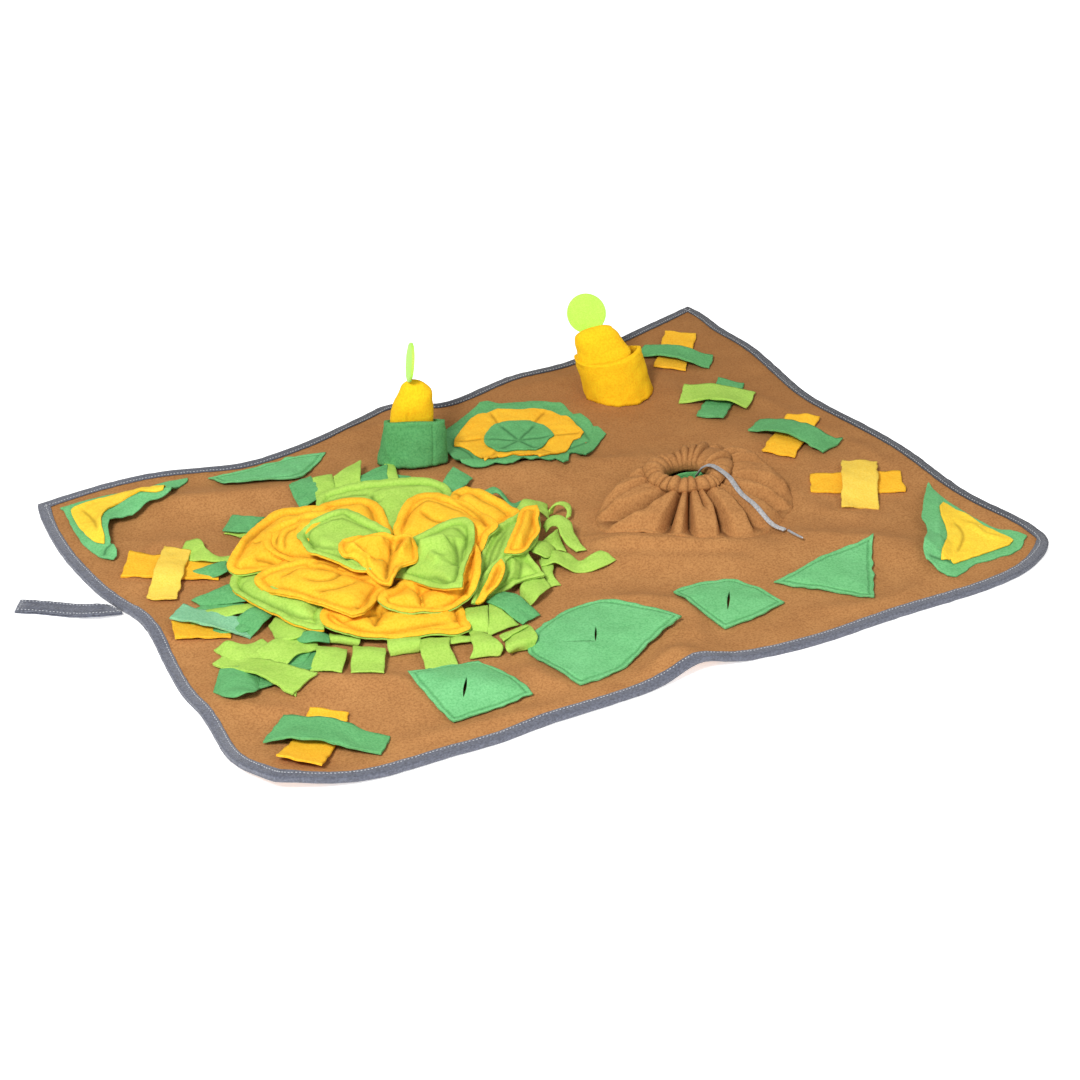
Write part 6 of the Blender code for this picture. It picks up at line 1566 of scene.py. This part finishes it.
class MAT_OT_pouch(bpy.types.Operator):
    """Gathered pouch with its ruffled neck, and the green cloth in it"""
    bl_idname = "mat.pouch"
    bl_label = "Pouch"

    def execute(self, context):
        count = 400
        angles = np.linspace(0, 2 * math.pi, count, endpoint=False)
        ground = heights_over("base_mat")
        middle, mouth = np.array(POUCH_MIDDLE), np.mean(POUCH_MOUTH, axis=0)
        foot, neck = (radius_at(line, middle, angles) for line in (POUCH_FOOT, POUCH_NECK))
        hole = radius_at(POUCH_MOUTH, mouth, angles)
        dirs = np.column_stack([np.cos(angles), np.sin(angles)])
        rng = np.random.default_rng(12)
        edges = np.r_[0, np.cumsum(rng.uniform(0.5, 1.6, POUCH_PUFFS))]
        spot = np.interp(angles, edges / edges[-1] * 2 * math.pi, np.arange(POUCH_PUFFS + 1))
        puff = np.abs(np.sin(math.pi * spot)) ** 0.5
        wave = ripple(np.column_stack([dirs, np.zeros(count)]) * 60 * MM, 42, 9)
        turn = np.degrees(angles)
        full = sum(share * np.exp(-(((turn - way + 180) % 360 - 180) / half) ** 2) for share, way, half in POUCH_BULGES)
        size = rng.uniform(0.6, 1.35, POUCH_PUFFS + 1)[np.floor(spot).astype(int) % POUCH_PUFFS]
        rows, fold_shades = [], []
        for s in np.r_[0, 0.03, np.linspace(0.07, 1.0, 44)]:
            sink, fold_shade = np.zeros(count), np.zeros(count)
            for low_heading, high_heading, depth, half, reach in POUCH_PLEATS:
                heading = low_heading * (1 - s) + high_heading * s
                off = np.abs((turn - heading + 180) % 360 - 180)
                width = half * (1.25 - 0.3 * s)
                fall = np.clip(1 - off / width, 0, 1) ** 1.3
                run = step(s, 0.9 - reach, 1 - reach * 0.75)
                sink = np.maximum(sink, 1.9 * depth * fall * run)
                # painted shade down the middle of each pleat's valley
                fold_shade = np.maximum(fold_shade, np.exp(-(off / (0.3 * width)) ** 2) * run * min(1, depth / 13))
            radius = foot * (1 - s) + neck * s - sink * 0.35
            xy = middle + dirs * radius[:, None]
            rise = np.interp(s, *POUCH_RISE) + full * np.interp(s, *POUCH_BULGE_RISE)
            low = np.array([ground(x, y) for x, y in xy]) + 1.4
            gather = (1 - puff) * 2.6 * step(s, 0.72, 1.0)
            height = np.maximum(rise - sink * 0.95 - gather + 2.0 * step(s, 0.05, 0.4), low)
            if s < 0.05:
                height = low - 3.0 + s * 110
            rows.append(np.column_stack([xy, height]))
            fold_shades.append(fold_shade)
        for part, proud, z, depth_of_puff in POUCH_RING:
            edge = middle + dirs * (neck + proud - (1 - puff) * depth_of_puff * 0.9 + wave)[:, None]
            inner = mouth + dirs * hole[:, None]
            xy = edge * (1 - part) + inner * part
            height = z - (1 - puff * size) * depth_of_puff * 1.5 + wave * 2.6 * step(z, 35, 44)
            rows.append(np.column_stack([xy, height]))
            # painted shade between the puffs of the gathered neck
            fold_shades.append((1 - puff) * 0.5)
        grid = np.array(rows)
        flat = grid.reshape(-1, 3)
        flat[:, 2] += ripple(flat * MM, 15, 6) * 0.5 * (flat[:, 2] > 8)
        verts, faces, layer = grid_sheet(grid, 0.9, wrap=True)
        fold_shade = np.zeros(len(verts))
        fold_shade[:len(flat)] = np.concatenate(fold_shades)
        obj = new_mesh("pouch_cloth", verts, faces, {"layer": layer, "crease": fold_shade})
        finish_square(obj, cloth_material("brown"), "pouch")

        rows = []
        left = np.maximum(0, np.cos(angles - 2.6)) * 9
        for share, z in POUCH_LINING:
            xy = mouth + dirs * (hole * share)[:, None]
            high = np.full(count, float(z)) + (1.5 * np.sin(angles * 5) - left) * step(z, 12, 24)
            rows.append(np.column_stack([xy, high]))
        grid = np.array(rows)[::-1]
        verts, faces, layer = grid_sheet(grid[:, ::4], 0.8, wrap=True)
        obj = new_mesh("pouch_lining_cloth", verts, faces, {"layer": layer})
        finish_square(obj, cloth_material("green"), "pouch_lining")
        return {"FINISHED"}


def radius_at(outline, centre, angles):
    """Radius of a closed outline at each angle round a centre."""
    loop = run_through(np.array(outline, float), 1.5, closed=True)
    around = np.mod(np.arctan2(loop[:, 1] - centre[1], loop[:, 0] - centre[0]), 2 * math.pi)
    order = np.argsort(around)
    far = np.hypot(loop[:, 0] - centre[0], loop[:, 1] - centre[1])
    return np.interp(angles, around[order], far[order], period=2 * math.pi)


class MAT_OT_lace(bpy.types.Operator):
    """Flat drawcord from the pouch's neck, and its metal end"""
    bl_idname = "mat.lace"
    bl_label = "Drawcord"

    def execute(self, context):
        line = lace_line()
        obj, length = flat_cord("lace_cord", line, LACE_WIDE, LACE_THICK)
        finish_piece(obj, woven_tape("drawcord_weave", tuple(context.scene.mat_colours.cord), 1.1), "lace", angle=None)
        tip = finer_copy("lace_tip", "lace_tip_sleeve", 2, crease=0.6, sharp=50)
        lift_by_folds(tip)
        finish_piece(tip, steel("plated_steel"), "lace_tip")
        return {"FINISHED"}


def lace_line():
    """Middle of the CAD cord, ring by ring, in mm, run on into the metal end."""
    bm = opened(NODES["lace"].data)
    bmesh.ops.remove_doubles(bm, verts=bm.verts, dist=0.01 * MM)
    left = np.array([v.co for v in bm.verts]) / MM
    bm.free()
    middle, line = np.array(LACE_START), []
    while len(left) > LACE_SIDES:
        near = np.argsort(np.linalg.norm(left - middle, axis=1))[:LACE_SIDES]
        middle = left[near].mean(axis=0)
        line.append(middle)
        left = np.delete(left, near, axis=0)
    line = np.vstack([line, line[-1] + unit(line[-1] - line[-3]) * 3.0])
    line[:, 2] += swell(line) * step(np.arange(len(line)), 3, 9)
    return line


def flat_cord(name, line, wide, thick, sides=12):
    """Flat woven cord swept along a line in mm, rounded at its selvedges."""
    run = np.r_[0, np.cumsum(np.linalg.norm(np.diff(line, axis=0), axis=1))]
    turns = [2 * math.pi * k / sides for k in range(sides)]
    verts = []
    for p, t in zip(line, unit(np.gradient(line, axis=0))):
        across = np.cross(t, (0, 0, 1.0))
        if np.linalg.norm(across) < 0.2:
            across = np.array([1.0, 0.3, 0.0])
        across = unit(across)
        up = np.cross(across, t)
        verts += [p + across * math.cos(a) * wide / 2 + up * math.sin(a) * thick / 2 for a in turns]
    obj = new_mesh(name, verts, tube_faces(len(line), sides))
    uv = obj.data.uv_layers.new(name="run")
    for loop in obj.data.loops:
        i, k = divmod(loop.vertex_index, sides)
        uv.data[loop.index].uv = (run[i] * MM, k / sides * 2 * wide * MM)
    return obj, float(run[-1]) * MM


def lift_by_folds(obj):
    """Lifts a piece by the small folds under it."""
    place = numbers(obj.data.vertices, "co", 3)
    place[:, 2] += swell(place / MM) * MM
    obj.data.vertices.foreach_set("co", place.ravel())
    obj.data.update()


class MAT_OT_folds(bpy.types.Operator):
    """Small folds that lift the sheet and all that lies on it"""
    bl_idname = "mat.folds"
    bl_label = "Small folds"

    def execute(self, context):
        solids = set(NODES.values())
        for obj in context.scene.objects:
            if obj.type == "MESH" and obj not in solids and obj.name not in ("floor", "lace_cord", "lace_tip_sleeve"):
                lift_by_folds(obj)
        return {"FINISHED"}


class MAT_PT_panel(bpy.types.Panel):
    """Lists what builds the mat"""
    bl_idname = "MAT_PT_panel"
    bl_label = "Snuffle mat"
    bl_space_type = "VIEW_3D"
    bl_region_type = "UI"
    bl_category = "Mat"

    def draw(self, context):
        for group in (context.scene.mat_sizes, context.scene.mat_colours):
            for name in group.__annotations__:
                self.layout.prop(group, name)
        for operator in OPERATORS:
            self.layout.operator(operator.bl_idname)


OPERATORS = (MAT_OT_studio, MAT_OT_lace, MAT_OT_sheet, MAT_OT_binding, MAT_OT_patches, MAT_OT_strips,
             MAT_OT_fringe, MAT_OT_petals, MAT_OT_pots, MAT_OT_pouch, MAT_OT_folds)
CLASSES = (MatSizes, MatColours, *OPERATORS, MAT_PT_panel)


def register():
    for cls in CLASSES:
        bpy.utils.register_class(cls)
    bpy.types.Scene.mat_sizes = PointerProperty(type=MatSizes)
    bpy.types.Scene.mat_colours = PointerProperty(type=MatColours)


def unregister():
    del bpy.types.Scene.mat_colours
    del bpy.types.Scene.mat_sizes
    for cls in reversed(CLASSES):
        bpy.utils.unregister_class(cls)


def main():
    """Builds the stage and every piece."""
    register()
    for operator in OPERATORS:
        group, name = operator.bl_idname.split(".")
        getattr(getattr(bpy.ops, group), name)()


if __name__ == "__main__":
    main()
